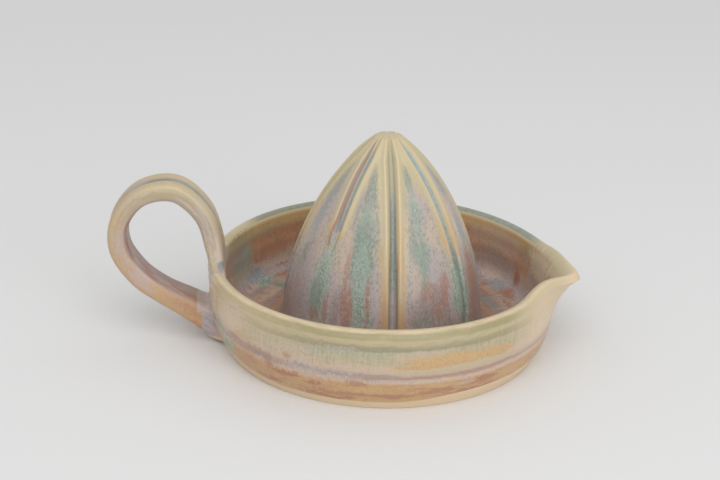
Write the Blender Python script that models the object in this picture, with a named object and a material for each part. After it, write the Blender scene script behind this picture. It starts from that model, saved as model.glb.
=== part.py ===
"""Wheel-thrown ceramic citrus juicer: a shallow dish with a pinched spout, a fluted hollow reamer standing
on its floor, and a pulled strap handle, with the clay coils that lute the reamer and the handle on.

Metres, +Z up. The origin is the centre of the flat base, on the wheel axis. +X points to the spout and -X to
the handle's side.
"""

import math

import bmesh
import bpy
import numpy as np
from mathutils import Vector

# Clearances: between pieces that seat on each other, and under the clay worked round the handle's foot
SEAT_GAP = 0.0003
TABLE_CLEARANCE = 0.0012

# Dish, as turned
DISH_RADIUS = 0.075
DISH_HEIGHT = 0.037
LIP_ROUND = 0.003
WALL_THICKNESS = 0.0062
FOOT_RADIUS = 0.0675
FOOT_BARE_HEIGHT = 0.0036
FOOT_BARE_FLARE = 0.0022
FLOOR_TOP = 0.008
FLOOR_CORNER_RADIUS = 0.0075
INNER_WALL_TAPER = 0.0006
BELLY_FULLNESS = 3.4
# The hole that lets the air out of the hollow reamer in the kiln
VENT_RADIUS = 0.002
VENT_OFFSET = 0.014
# Each groove left by the fingers in throwing: how far below the lip, half its spread, and its depth
THROWING_GROOVES = ((0.0016, 0.0010, 0.0005), (0.0057, 0.0011, 0.0005), (0.0205, 0.0020, 0.0006))

# Spout, pinched out of the lip at +X
SPOUT_REACH = 0.0098
SPOUT_LIFT = 0.0006
SPOUT_DEPTH = 0.022
SPOUT_UNDERCUT = 2.7
SPOUT_SPREAD_FAR = math.radians(11.5)
SPOUT_SPREAD_NEAR = math.radians(5.8)
SPOUT_SHARPNESS = 1.15
SPOUT_SHOULDER_RISE = 0.0024
SPOUT_SHOULDER_ANGLE = math.radians(12)
SPOUT_SHOULDER_SPREAD = math.radians(9)
SPOUT_PINCH = 0.0014
SPOUT_PINCH_ANGLE = math.radians(-20)
SPOUT_PINCH_SPREAD = math.radians(9)

# Reamer, a closed hollow form with cut flutes
REAMER_RADIUS = 0.0433
REAMER_TOP = 0.0935
REAMER_NOSE = 0.0025
REAMER_BELLY = 2.25
REAMER_TAPER = 0.8
REAMER_WALL = 0.0068
REAMER_FOOT_FLARE = 0.0035
REAMER_FOOT_FLARE_HEIGHT = 0.005
REAMER_ROOF_THICKNESS = 0.0095
REAMER_CROWN_ROUND = 0.0010
FLUTE_AZIMUTHS = tuple(math.radians(degrees) for degrees in (-165, -122, -76, -27, 15, 60, 105, 150))
FLUTE_WIDTH = 0.0048
FLUTE_TAIL_SHARE = 0.25
FLUTE_DEPTH = 0.0025
FLUTE_MOST_OF_LOBE = 0.5
SHORT_FLUTE = 1
SHORT_FLUTE_END = 0.047
FLUTE_END = 0.011
FLUTE_RUN_OUT = 0.012
LOBE_HOLLOW = 0.0007
LOBE_SHARES = (0.25, 0.5, 0.75)

# Handle, a pulled strap bent in one upright plane through the wheel axis
HANDLE_AZIMUTH = math.radians(190.5)
HANDLE_WIDTH = 0.0165
HANDLE_NARROWING = 0.0030
HANDLE_THICKNESS = 0.0082
HANDLE_THICKENING = 0.0016
# Where the strap starts to get narrower and thicker, and where it has done so, as shares of its length
HANDLE_TAPER_START = 0.45
HANDLE_TAPER_END = 0.70
HANDLE_EDGE_ROUND = 0.0036
HANDLE_STAND_OFF = 0.0413
HANDLE_RISE = 0.0311
HANDLE_GROOVE_DEPTH = 0.0011
HANDLE_GROOVE_WIDTH = 0.0056
HANDLE_GROOVE_MOST_OF_FACE = 0.9
HANDLE_GROOVE_FADE = 0.7
HANDLE_ROOT_SINK = 0.0018
HANDLE_ROOT_FLARE = 0.014
HANDLE_ROOT_BLEND = 0.016
HANDLE_TERMINAL_HEIGHT = 0.0082
HANDLE_TERMINAL_FLARE = 0.0055
HANDLE_TERMINAL_SWELL = 0.0040
HANDLE_TERMINAL_BLEND = 0.034
HANDLE_TERMINAL_SINK = 0.0055
HANDLE_TERMINAL_SLOPE = math.radians(30)
# Centreline between the lip and the wall, as shares of the stand-off and of the height over the terminal
HANDLE_SWEEP = (
    (0.01, 0.59),
    (0.12, 0.83),
    (0.40, 1.0),
    (0.75, 0.965),
    (0.97, 0.78),
    (0.985, 0.56),
    (0.80, 0.355),
    (0.55, 0.222),
    (0.29, 0.122),
)

# Luting coils, pressed into the joints and smoothed
REAMER_COIL_LEG = 0.0032
HANDLE_COIL_LEG = 0.0032
HANDLE_COIL_EDGE = 0.0006
HANDLE_COIL_REACH = 0.008
HANDLE_COIL_GAP = 0.0004

# Facets
DISH_COLUMNS = 80
SPOUT_COLUMN_CROWDING = 0.6
WALL_ROWS = 6
WALL_ROW_CROWDING = 1.5
REAMER_ROWS = 24
CAVITY_ROWS = 8
COIL_STEPS = 4
HANDLE_STATIONS = 34
HANDLE_COIL_STATIONS = 5
SWEEP_STEPS = 12
STRAP_EDGE_STEPS = 4
LIP_STEPS = 6
CORNER_STEPS = 4
VENT_SIDES = 16


def smooth_step(value):
    value = min(1.0, max(0.0, value))
    return value * value * (3 - 2 * value)


def bump(value, centre, spread):
    return math.exp(-(((value - centre) / spread) ** 2))


def around(angle):
    """The same angle between -pi and pi."""
    return (angle + math.pi) % (2 * math.pi) - math.pi


def material(name, colour, roughness):
    made = bpy.data.materials.new(name)
    made.use_nodes = True
    shader = made.node_tree.nodes["Principled BSDF"]
    shader.inputs["Base Color"].default_value = (*colour, 1)
    shader.inputs["Roughness"].default_value = roughness
    shader.inputs["Metallic"].default_value = 0
    return made


def mesh_object(name, points, faces, finish):
    """A named, smooth-shaded object whose faces are turned outwards."""
    mesh = bpy.data.meshes.new(name)
    mesh.from_pydata([tuple(point) for point in points], [], faces)
    shape = bmesh.new()
    shape.from_mesh(mesh)
    bmesh.ops.recalc_face_normals(shape, faces=shape.faces)
    shape.to_mesh(mesh)
    shape.free()
    mesh.shade_smooth()
    mesh.set_sharp_from_angle(angle=math.radians(40))
    mesh.materials.append(finish)
    made = bpy.data.objects.new(name, mesh)
    bpy.context.collection.objects.link(made)
    return made


def ring_faces(rings, columns, closed_across=False):
    """Quads between neighbouring rings of points, each ring holding the same number of columns."""
    faces = []
    for row in range(rings if closed_across else rings - 1):
        here = row * columns
        above = (row + 1) % rings * columns
        for column in range(columns):
            beside = (column + 1) % columns
            faces.append((here + column, here + beside, above + beside, above + column))
    return faces


def closed_tube(rings, first_tip, last_tip):
    """Points and faces of a tube through these rings, closed by a fan to a tip at each end."""
    points = [point for ring in rings for point in ring]
    columns = len(rings[0])
    faces = ring_faces(len(rings), columns)
    last = len(points) - columns
    for column in range(columns):
        beside = (column + 1) % columns
        faces.append((len(points), beside, column))
        faces.append((len(points) + 1, last + column, last + beside))
    return [*points, first_tip, last_tip], faces


def ring_centre(ring):
    return tuple(np.mean(ring, axis=0))


def cutter_object(name, points, faces):
    cutter = mesh_object(name, points, faces, None)
    cutter.hide_render = True
    cutter.display_type = "WIRE"
    return cutter


def cut_clear(piece, cutter):
    """Takes the cutter's shape out of a piece."""
    trim = piece.modifiers.new("cut_clear", "BOOLEAN")
    trim.operation = "DIFFERENCE"
    trim.solver = "EXACT"
    trim.object = cutter


def wall_top():
    """Where the upright wall ends and the round of the lip begins."""
    return DISH_HEIGHT - LIP_ROUND


def outer_wall_radius(height):
    """Outside of the turned wall, before the throwing grooves: a bevelled bare foot, then a full belly."""
    if height <= FOOT_BARE_HEIGHT:
        return FOOT_RADIUS + FOOT_BARE_FLARE * height / FOOT_BARE_HEIGHT
    start = FOOT_RADIUS + FOOT_BARE_FLARE
    share = (height - FOOT_BARE_HEIGHT) / (wall_top() - FOOT_BARE_HEIGHT)
    return start + (DISH_RADIUS - start) * (1 - max(0.0, 1 - share) ** BELLY_FULLNESS)


def groove_at(height):
    return sum(depth * bump(DISH_HEIGHT - height, below, spread) for below, spread, depth in THROWING_GROOVES)


def wall_heights():
    """Heights of the rows up the outside: closer near the foot, and three to each groove under the lip."""
    rise = wall_top() - FOOT_BARE_HEIGHT
    heights = [FOOT_BARE_HEIGHT + rise * (row / WALL_ROWS) ** WALL_ROW_CROWDING for row in range(WALL_ROWS)]
    for below, spread, _ in THROWING_GROOVES:
        centre = DISH_HEIGHT - below
        heights += [centre - spread, centre, centre + spread]
    return sorted(height for height in heights if FOOT_BARE_HEIGHT <= height < wall_top())


def outer_profile(grow=0.0):
    """Outside of the dish and its lip as (radius, height), from the bare foot up and over to the inside."""
    points = [(outer_wall_radius(height) - groove_at(height) + grow, height) for height in wall_heights()]
    for step in range(LIP_STEPS + 1):
        angle = math.pi * step / LIP_STEPS
        groove = groove_at(wall_top() + LIP_ROUND * math.sin(angle)) if angle < math.pi / 2 else 0.0
        radius = DISH_RADIUS - LIP_ROUND + (LIP_ROUND + grow) * math.cos(angle) - groove
        points.append((radius, wall_top() + (LIP_ROUND + grow) * math.sin(angle)))
    return points


def dish_profile():
    """Section of the dish as (radius, height), from the base's edge over the lip and down to the floor."""
    points = [(outer_wall_radius(0), 0.0), *outer_profile()]
    inner_foot = DISH_RADIUS - WALL_THICKNESS
    points.append((inner_foot, (FLOOR_TOP + FLOOR_CORNER_RADIUS + DISH_HEIGHT) / 2))
    corner = inner_foot - INNER_WALL_TAPER - FLOOR_CORNER_RADIUS
    for step in range(CORNER_STEPS + 1):
        angle = math.pi / 2 * step / CORNER_STEPS
        radius = corner + FLOOR_CORNER_RADIUS * math.cos(angle)
        points.append((radius, FLOOR_TOP + FLOOR_CORNER_RADIUS * (1 - math.sin(angle))))
    return points


def spout_shift(azimuth, height):
    """How far the pinched spout moves the wall outwards and upwards at this azimuth and height."""
    angle = around(azimuth)
    start = DISH_HEIGHT - SPOUT_DEPTH
    share = min(1.0, max(0.0, (height - start) / (wall_top() - start))) ** SPOUT_UNDERCUT
    spread = SPOUT_SPREAD_FAR if angle > 0 else SPOUT_SPREAD_NEAR
    beak = math.exp(-((abs(angle) / spread) ** SPOUT_SHARPNESS))
    pinch = bump(angle, SPOUT_PINCH_ANGLE, SPOUT_PINCH_SPREAD)
    outwards = SPOUT_REACH * beak - SPOUT_PINCH * pinch * (1 - beak)
    shoulder = bump(abs(angle), SPOUT_SHOULDER_ANGLE, SPOUT_SHOULDER_SPREAD)
    upwards = SPOUT_SHOULDER_RISE * shoulder * (1 - beak) + SPOUT_LIFT * beak
    return share * outwards, share * upwards


def dish_azimuths():
    """Columns round the dish, closer together at the spout."""
    even = [2 * math.pi * column / DISH_COLUMNS for column in range(DISH_COLUMNS)]
    return [angle - SPOUT_COLUMN_CROWDING * math.sin(angle) for angle in even]


def turned_rings(profile):
    """A section carried round the wheel axis, with the spout pinched out."""
    rings = []
    for radius, height in profile:
        ring = []
        for azimuth in dish_azimuths():
            outwards, upwards = spout_shift(azimuth, height)
            reach = radius + outwards
            ring.append((reach * math.cos(azimuth), reach * math.sin(azimuth), height + upwards))
        rings.append(ring)
    return rings


def make_vent_cutter():
    """The pin that pierces the dish floor under the reamer's hollow."""
    turns = [2 * math.pi * side / VENT_SIDES for side in range(VENT_SIDES)]
    outline = [(VENT_OFFSET + VENT_RADIUS * math.cos(turn), VENT_RADIUS * math.sin(turn)) for turn in turns]
    below, above = -FLOOR_TOP, 2 * FLOOR_TOP
    rings = [[(x, y, height) for x, y in outline] for height in (below, above)]
    return cutter_object("vent_cutter", *closed_tube(rings, (VENT_OFFSET, 0, below), (VENT_OFFSET, 0, above)))


def make_dish(finish):
    """The turned bowl with its spout, on a flat base cut from the wheel."""
    rings = turned_rings(dish_profile())
    dish = mesh_object("dish", *closed_tube(rings, (0, 0, 0), (0, 0, FLOOR_TOP)), finish)
    cut_clear(dish, make_vent_cutter())


def reamer_radius(height):
    """Outside of the reamer over its lobes: an ogive with a small flare where it meets the floor."""
    share = min(1.0, max(0.0, height / (REAMER_TOP + REAMER_NOSE)))
    flare = REAMER_FOOT_FLARE * math.exp(-(height - FLOOR_TOP) / REAMER_FOOT_FLARE_HEIGHT)
    return REAMER_RADIUS * (1 - share**REAMER_BELLY) ** REAMER_TAPER + flare


def flute_cut(flute, height):
    """Half width and depth of one flute at this height. It runs out to nothing at its lower end."""
    end = SHORT_FLUTE_END if flute == SHORT_FLUTE else FLUTE_END
    run = smooth_step((height - end) / FLUTE_RUN_OUT)
    pitch = 2 * math.pi * reamer_radius(height) / len(FLUTE_AZIMUTHS)
    narrow = min(1.0, FLUTE_MOST_OF_LOBE * pitch / FLUTE_WIDTH)
    width = FLUTE_WIDTH * narrow * (FLUTE_TAIL_SHARE + (1 - FLUTE_TAIL_SHARE) * run)
    return width / 2, FLUTE_DEPTH * narrow * run


def reamer_row(height):
    """One ring of (radius, azimuth) round the reamer: each flute with its edges, then the lobe beside it."""
    radius = reamer_radius(height)
    hollow = LOBE_HOLLOW * min(1.0, radius / REAMER_RADIUS)
    row = []
    for flute, azimuth in enumerate(FLUTE_AZIMUTHS):
        following = (flute + 1) % len(FLUTE_AZIMUTHS)
        span = (FLUTE_AZIMUTHS[following] - azimuth) % (2 * math.pi)
        half_width, depth = flute_cut(flute, height)
        next_half_width, _ = flute_cut(following, height)
        start = half_width / radius
        end = span - next_half_width / radius
        row.append((radius - depth, azimuth))
        row.append((radius, azimuth + start))
        for share in LOBE_SHARES:
            dip = hollow * math.sin(math.pi * share)
            row.append((radius - dip, azimuth + start + share * (end - start)))
        row.append((radius, azimuth + end))
    return row


def ring_points(row, height):
    return [(radius * math.cos(azimuth), radius * math.sin(azimuth), height) for radius, azimuth in row]


def reamer_seat():
    """Height of the reamer's foot, just over the dish floor."""
    return FLOOR_TOP + SEAT_GAP


def reamer_heights():
    """Heights of the reamer's rings, closer together at the flared foot and at the crown."""
    rise = REAMER_TOP - REAMER_CROWN_ROUND - reamer_seat()
    turns = [math.pi * row / REAMER_ROWS for row in range(REAMER_ROWS + 1)]
    return [reamer_seat() + rise * (1 - math.cos(turn)) / 2 for turn in turns]


def inside_radius(height):
    """Inside of the reamer's wall, measured half a wall higher up because the wall slopes."""
    return reamer_radius(height + REAMER_WALL / 2) - REAMER_WALL


def make_reamer(finish):
    """The fluted cone outside and a plain cavity inside, joined by the flat ring that stands on the floor."""
    cavity_top = REAMER_TOP - REAMER_ROOF_THICKNESS
    rings = []
    for row in range(CAVITY_ROWS, -1, -1):
        turn = math.pi / 2 * row / CAVITY_ROWS
        height = reamer_seat() + (cavity_top - reamer_seat()) * math.sin(turn)
        inside = max(REAMER_CROWN_ROUND, inside_radius(height))
        rings.append(ring_points([(inside, azimuth) for _, azimuth in reamer_row(height)], height))
    for height in reamer_heights():
        rings.append(ring_points(reamer_row(height), height))
    mesh_object("reamer", *closed_tube(rings, (0, 0, cavity_top), (0, 0, REAMER_TOP)), finish)


def make_reamer_coil(finish):
    """The coil of clay smoothed into the corner between the reamer's foot and the floor."""
    seat = reamer_seat()
    leg = REAMER_COIL_LEG
    azimuths = [azimuth for _, azimuth in reamer_row(seat)]
    against = [height for height in reamer_heights() if height < seat + leg] + [seat + leg]
    section = [(reamer_radius(height) + SEAT_GAP, height) for height in against[::-1]]
    foot = section[-1][0]
    for step in range(COIL_STEPS):
        angle = math.pi / 2 * step / COIL_STEPS
        section.append((foot + leg * (1 - math.sin(angle)), seat + leg * (1 - math.cos(angle))))
    rings = [ring_points([(radius, azimuth) for azimuth in azimuths], height) for radius, height in section]
    points = [point for ring in rings for point in ring]
    faces = ring_faces(len(rings), len(azimuths), closed_across=True)
    mesh_object("reamer_joint_coil", points, faces, finish)


def handle_path():
    """Centreline of the strap as (distance from the wheel axis, height), from the lip round to the wall."""
    lip = DISH_RADIUS - LIP_ROUND
    low = HANDLE_TERMINAL_HEIGHT
    tall = DISH_HEIGHT + HANDLE_RISE - low
    landing = outer_wall_radius(low)
    path = [(lip, DISH_HEIGHT - HANDLE_ROOT_SINK)]
    path += [(lip + out * HANDLE_STAND_OFF, low + up * tall) for out, up in HANDLE_SWEEP]
    path.append((landing, low))
    sunk_in = HANDLE_TERMINAL_SINK * math.cos(HANDLE_TERMINAL_SLOPE)
    sunk_down = HANDLE_TERMINAL_SINK * math.sin(HANDLE_TERMINAL_SLOPE)
    path.append((landing - sunk_in, low - sunk_down))
    return path


def smooth_curve(points, count):
    """Evenly spaced points along a smooth curve through the given ones."""
    spline = [Vector(point) for point in points]
    padded = [2 * spline[0] - spline[1], *spline, 2 * spline[-1] - spline[-2]]
    fine = []
    for before, start, end, after in zip(padded, padded[1:], padded[2:], padded[3:]):
        for step in range(SWEEP_STEPS):
            share = step / SWEEP_STEPS
            curve = (
                2 * start
                + (end - before) * share
                + (2 * before - 5 * start + 4 * end - after) * share**2
                + (3 * start - before - 3 * end + after) * share**3
            )
            fine.append(curve / 2)
    fine.append(spline[-1])
    lengths = np.cumsum([0] + [(b - a).length for a, b in zip(fine, fine[1:])])
    targets = np.linspace(0, lengths[-1], count)
    distances = np.interp(targets, lengths, [point.x for point in fine])
    heights = np.interp(targets, lengths, [point.y for point in fine])
    return [Vector(pair) for pair in zip(distances, heights)]


def strap_pitch(path):
    """Distance between two neighbouring points of the centreline."""
    return (path[1] - path[0]).length


def strap_length(path):
    return strap_pitch(path) * (len(path) - 1)


def strap_point(path, run):
    """Point of the centreline at this distance along the strap from its root."""
    place = min(len(path) - 1, max(0.0, run / strap_pitch(path)))
    station = min(len(path) - 2, int(place))
    return path[station].lerp(path[station + 1], place - station)


def strap_section(width, thickness, groove):
    """Section across the strap as (across, outwards): round edges, and a groove along its outer face."""
    edge = thickness / 2
    flat = width / 2 - HANDLE_EDGE_ROUND
    turns = [math.pi * (step / STRAP_EDGE_STEPS - 0.5) for step in range(STRAP_EDGE_STEPS + 1)]
    side = [(flat + HANDLE_EDGE_ROUND * math.cos(turn), edge * math.sin(turn)) for turn in turns]
    side.append((min(HANDLE_GROOVE_WIDTH / 2, HANDLE_GROOVE_MOST_OF_FACE * flat), edge))
    mirrored = [(-across, out) for across, out in side[::-1]]
    return side + [(0.0, edge - groove)] + mirrored + [(0.0, -edge)]


def handle_ring(path, run, grow=0.0):
    """One section of the strap at a distance along it: wide at the lip, thick where it lands on the wall."""
    centre = strap_point(path, run)
    pitch = strap_pitch(path)
    along = (strap_point(path, run + pitch) - strap_point(path, run - pitch)).normalized()
    root = max(0.0, 1 - run / HANDLE_ROOT_BLEND) ** 2
    terminal = smooth_step(1 - (strap_length(path) - run) / HANDLE_TERMINAL_BLEND)
    share = run / strap_length(path)
    taper = smooth_step((share - HANDLE_TAPER_START) / (HANDLE_TAPER_END - HANDLE_TAPER_START))
    flare = HANDLE_ROOT_FLARE * root + HANDLE_TERMINAL_FLARE * terminal
    width = HANDLE_WIDTH - HANDLE_NARROWING * taper + flare + 2 * grow
    thickness = HANDLE_THICKNESS + HANDLE_THICKENING * taper + HANDLE_TERMINAL_SWELL * terminal + 2 * grow
    groove = HANDLE_GROOVE_DEPTH * (1 - HANDLE_GROOVE_FADE * terminal)
    ring = []
    for across, out in strap_section(width, thickness, groove):
        wrap = across**2 / (2 * DISH_RADIUS) * max(root, terminal)
        radial = centre.x - out * along.y - wrap
        x = radial * math.cos(HANDLE_AZIMUTH) - across * math.sin(HANDLE_AZIMUTH)
        y = radial * math.sin(HANDLE_AZIMUTH) + across * math.cos(HANDLE_AZIMUTH)
        ring.append((x, y, centre.y + out * along.x))
    return ring


def make_handle(finish, path, seat_cutter):
    """The strap swept along its path and cut to sit on the lip and on the wall."""
    runs = [strap_pitch(path) * station for station in range(len(path))]
    rings = [handle_ring(path, run) for run in runs]
    points, faces = closed_tube(rings, ring_centre(rings[0]), ring_centre(rings[-1]))
    cut_clear(mesh_object("handle", points, faces, finish), seat_cutter)


def make_handle_coil(finish, path, seat_cutter):
    """The saddle of clay worked over the strap's lower end and down its sides, thickest at the wall."""
    length = strap_length(path)
    start = length - HANDLE_TERMINAL_SINK - HANDLE_COIL_REACH
    inner, outer = [], []
    for station in range(HANDLE_COIL_STATIONS):
        share = station / (HANDLE_COIL_STATIONS - 1)
        run = start + (length - start) * share
        thick = HANDLE_COIL_EDGE + (HANDLE_COIL_LEG - HANDLE_COIL_EDGE) * share
        inner.append(handle_ring(path, run, HANDLE_COIL_GAP))
        outer.append(handle_ring(path, run, HANDLE_COIL_GAP + thick))
    loop = inner + outer[::-1]
    corners = len(loop[0])
    over_the_top = range(-STRAP_EDGE_STEPS - 2, STRAP_EDGE_STEPS + 1)
    rings = [[ring[corner % corners] for ring in loop] for corner in over_the_top]
    points, faces = closed_tube(rings, ring_centre(rings[0]), ring_centre(rings[-1]))
    cut_clear(mesh_object("handle_joint_coil", points, faces, finish), seat_cutter)


def make_seat_cutter():
    """The filled dish grown by the seat gap, on a slab that keeps the handle's clay clear of the table."""
    edge, deep = 2 * DISH_RADIUS, -DISH_HEIGHT
    slab = [(edge, deep), (edge, TABLE_CLEARANCE)]
    slab.append((outer_wall_radius(TABLE_CLEARANCE) + SEAT_GAP, TABLE_CLEARANCE))
    rings = turned_rings(slab + outer_profile(SEAT_GAP))
    first_tip, last_tip = (0, 0, deep), (0, 0, rings[-1][0][2])
    return cutter_object("dish_seat_cutter", *closed_tube(rings, first_tip, last_tip))


def build():
    for leftover in list(bpy.data.objects):
        bpy.data.objects.remove(leftover)
    sage = material("sage_glaze", (0.62, 0.54, 0.40), 0.32)
    teal = material("mottled_teal_glaze", (0.52, 0.52, 0.44), 0.3)
    tan = material("tan_glaze", (0.66, 0.50, 0.34), 0.34)
    lavender = material("pooled_lavender_glaze", (0.42, 0.38, 0.42), 0.28)
    seat_cutter = make_seat_cutter()
    make_dish(sage)
    make_reamer(teal)
    make_reamer_coil(lavender)
    path = smooth_curve(handle_path(), HANDLE_STATIONS)
    make_handle(tan, path, seat_cutter)
    make_handle_coil(lavender, path, seat_cutter)


build()
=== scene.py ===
"""Glazed stoneware citrus juicer: a thrown dish with a pinched spout, a fluted reamer standing in it,
a pulled strap handle, and the clay smoothed into the joints.

Metres, +Z up. The wheel axis is Z, +X points to the spout, and the handle is on the -X side.
"""

import math
from functools import reduce

import bmesh
import bpy
import numpy as np
from bpy.props import FloatProperty, FloatVectorProperty, IntProperty, PointerProperty
from mathutils import Matrix, Vector


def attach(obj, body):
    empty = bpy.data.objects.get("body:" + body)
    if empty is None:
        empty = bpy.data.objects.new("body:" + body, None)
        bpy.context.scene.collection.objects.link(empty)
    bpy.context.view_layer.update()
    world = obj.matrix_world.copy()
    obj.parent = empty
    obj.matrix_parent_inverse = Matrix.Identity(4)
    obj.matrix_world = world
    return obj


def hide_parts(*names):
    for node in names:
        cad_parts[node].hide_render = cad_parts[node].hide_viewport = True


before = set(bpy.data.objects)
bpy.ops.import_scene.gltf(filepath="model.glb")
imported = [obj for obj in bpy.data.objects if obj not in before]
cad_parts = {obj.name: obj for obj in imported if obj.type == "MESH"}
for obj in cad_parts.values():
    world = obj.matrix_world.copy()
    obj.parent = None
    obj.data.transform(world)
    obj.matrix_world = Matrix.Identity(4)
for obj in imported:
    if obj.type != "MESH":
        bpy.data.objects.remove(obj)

bl_info = {
    "name": "Stoneware citrus juicer",
    "version": (1, 0, 0),
    "blender": (4, 5, 0),
    "location": "3D View > Sidebar > Juicer",
    "description": "Builds a glazed citrus juicer round its packed solids",
    "category": "Object",
}

MM_IN_M = 1000
# A Mix node's sockets for colours. Its names for them repeat, so they go by number
MIX_UNDER, MIX_OVER, MIX_RESULT = 6, 7, 2
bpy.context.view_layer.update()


def paint(red, green, blue):
    """An 8-bit colour in the scene's linear light."""
    shares = [channel / 255 for channel in (red, green, blue)]
    return tuple(share / 12.92 if share <= 0.04045 else ((share + 0.055) / 1.055) ** 2.4 for share in shares)


def decimal(name, description, default, unit="NONE"):
    return FloatProperty(name=name, description=description, default=default, unit=unit)


def length(name, description, default):
    return FloatProperty(
        name=name, description=description, default=default, min=0.0, unit="LENGTH", precision=4
    )


def count(name, description, default):
    return IntProperty(name=name, description=description, default=default, min=3)


def turn(name, description, degrees):
    return FloatProperty(name=name, description=description, default=math.radians(degrees), unit="ROTATION")


def share(name, description, default):
    return FloatProperty(
        name=name, description=description, default=default, min=0.0, max=1.0, subtype="FACTOR"
    )


def shade(name, description, *levels):
    return FloatVectorProperty(
        name=name, description=description, default=paint(*levels), size=3, subtype="COLOR", min=0.0, max=1.0
    )


class DishSettings(bpy.types.PropertyGroup):
    radius: length("Radius", "Outside radius at the lip", 0.07492)
    height: length("Height", "Height of the lip", 0.037)
    lip_round: length("Lip", "Radius of the rolled lip", 0.003)
    wall: length("Wall", "Thickness of the wall", 0.0062)
    foot_radius: length("Foot", "Radius of the base where it stands", 0.0675)
    bare_height: length("Bare foot", "Height of the unglazed band", 0.0036)
    bare_flare: length("Foot flare", "How far the bare band leans out", 0.0022)
    fullness: decimal("Belly", "Fullness of the wall above the foot", 3.4)
    floor: length("Floor", "Height of the floor inside", 0.008)
    corner: length("Corner", "Radius between the wall and the floor", 0.0075)
    taper: length("Taper", "How far the inside narrows to the floor", 0.0006)
    vent: length("Vent", "Radius of the hole under the reamer", 0.002)
    vent_offset: length("Vent offset", "Distance of that hole from the wheel axis", 0.014)
    spout_reach: length("Spout reach", "How far the spout stands out", 0.0098)
    spout_lift: length("Spout lift", "How far its tip stands over the lip", 0.0006)
    spout_depth: length("Spout depth", "Height of wall that the spout takes in", 0.022)
    shoulder_rise: length("Shoulder rise", "How far the lip lifts beside the spout", 0.0024)
    pinch: length("Pinch", "How far the near side is pinched in", 0.0014)
    columns: count("Columns", "Facets round the dish", 300)


class ReamerSettings(bpy.types.PropertyGroup):
    radius: length("Radius", "Radius over the lobes near the foot", 0.0433)
    top: length("Top", "Height of the tip", 0.0935)
    nose: length("Nose", "Height cut off the pointed curve", 0.0025)
    crown: length("Crown", "Height of the rounded tip", 0.0014)
    belly: decimal("Belly", "Fullness of the curve", 2.25)
    taper: decimal("Taper", "Bluntness of the curve at the tip", 0.8)
    wall: length("Wall", "Thickness of the wall", 0.0068)
    roof: length("Roof", "Thickness of the clay under the tip", 0.0095)
    foot_flare: length("Foot flare", "How far the foot spreads on the floor", 0.0035)
    flute_width: length("Flute width", "Width of a flute low down", 0.0050)
    flute_depth: length("Flute depth", "Depth of a flute low down", 0.0023)
    edge_rise: length("Edge rise", "Height of the soft edge beside a flute", 0.0004)
    lobe_hollow: length("Lobe hollow", "How far a lobe is dished", 0.0007)
    lean: length("Lean", "How far the tip leans to the right", 0.0008)
    columns: count("Columns", "Facets round the reamer", 480)
    rows: count("Rows", "Rows up the outside", 150)


class HandleSettings(bpy.types.PropertyGroup):
    azimuth: turn("Azimuth", "Direction of the handle round the dish", 190.5)
    width: length("Width", "Width of the strap at the top of the loop", 0.0165)
    narrowing: length("Narrowing", "How much narrower it is low down", 0.0030)
    thickness: length("Thickness", "Thickness of the strap at the top of the loop", 0.0083)
    thickening: length("Thickening", "How much thicker it is low down", 0.0016)
    stand_off: length("Stand-off", "How far the loop stands out", 0.0412)
    rise: length("Rise", "How far the loop stands over the lip", 0.0313)
    groove_depth: length("Groove depth", "Depth of the groove along the outer face", 0.0012)
    groove_width: length("Groove width", "Half width of that groove", 0.0030)
    root_flare: length("Root flare", "Extra width where the strap leaves the lip", 0.014)
    root_blend: length("Root blend", "Length of strap that the root flare takes", 0.016)
    landing: length("Landing height", "Height where the strap meets the wall", 0.0082)
    landing_flare: length("Landing flare", "Extra width there", 0.0055)
    landing_swell: length("Landing swell", "Extra thickness there", 0.0030)
    landing_blend: length("Landing blend", "Length of strap that this takes", 0.034)
    collar: length("Collar", "Thickness of the clay worked over the landing", 0.0005)
    collar_reach: length("Collar reach", "How far it comes up the strap", 0.0075)
    stations: count("Stations", "Sections along the strap", 260)


class GlazeSettings(bpy.types.PropertyGroup):
    clay: shade("Clay", "Bare stoneware", 220, 197, 166)
    cream: shade("Cream", "Thin glaze on the edges", 190, 177, 142)
    sage: shade("Sage", "Pale green-grey glaze", 176, 168, 137)
    olive: shade("Olive", "Glaze pooled in the grooves", 156, 146, 108)
    ochre: shade("Ochre", "Golden glaze", 196, 162, 114)
    orange: shade("Orange", "Warm glaze low on the wall", 188, 148, 108)
    rust: shade("Rust", "Iron red streaks", 158, 104, 84)
    brown: shade("Brown", "Dark glaze inside the wall", 188, 140, 108)
    mauve: shade("Mauve", "Purple-brown glaze", 158, 138, 134)
    lavender: shade("Lavender", "Pale violet runs", 184, 168, 168)
    blue: shade("Blue", "Blue-grey pooled glaze", 152, 160, 166)
    slate: shade("Slate", "Dark grey-blue in the flutes", 126, 126, 120)
    teal: shade("Teal", "Pale teal mottle", 160, 184, 168)
    deep_teal: shade("Deep teal", "Dark teal in the runs", 106, 124, 112)
    peach: shade("Peach", "Pink-cream where the glaze thins", 198, 176, 154)
    gloss: share("Roughness", "Roughness of the glaze", 0.34)


class StageSettings(bpy.types.PropertyGroup):
    floor_colour: shade("Floor", "Colour of the floor", 226, 226, 226)
    floor_radius: length("Floor radius", "Radius of the floor", 4.0)
    key_power: decimal("Key", "Power of the overhead light", 10.5, "POWER")
    front_power: decimal("Front", "Power of the light beside the camera", 5.5, "POWER")
    world_light: decimal("Sky", "Strength of the even light", 0.66)


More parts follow.
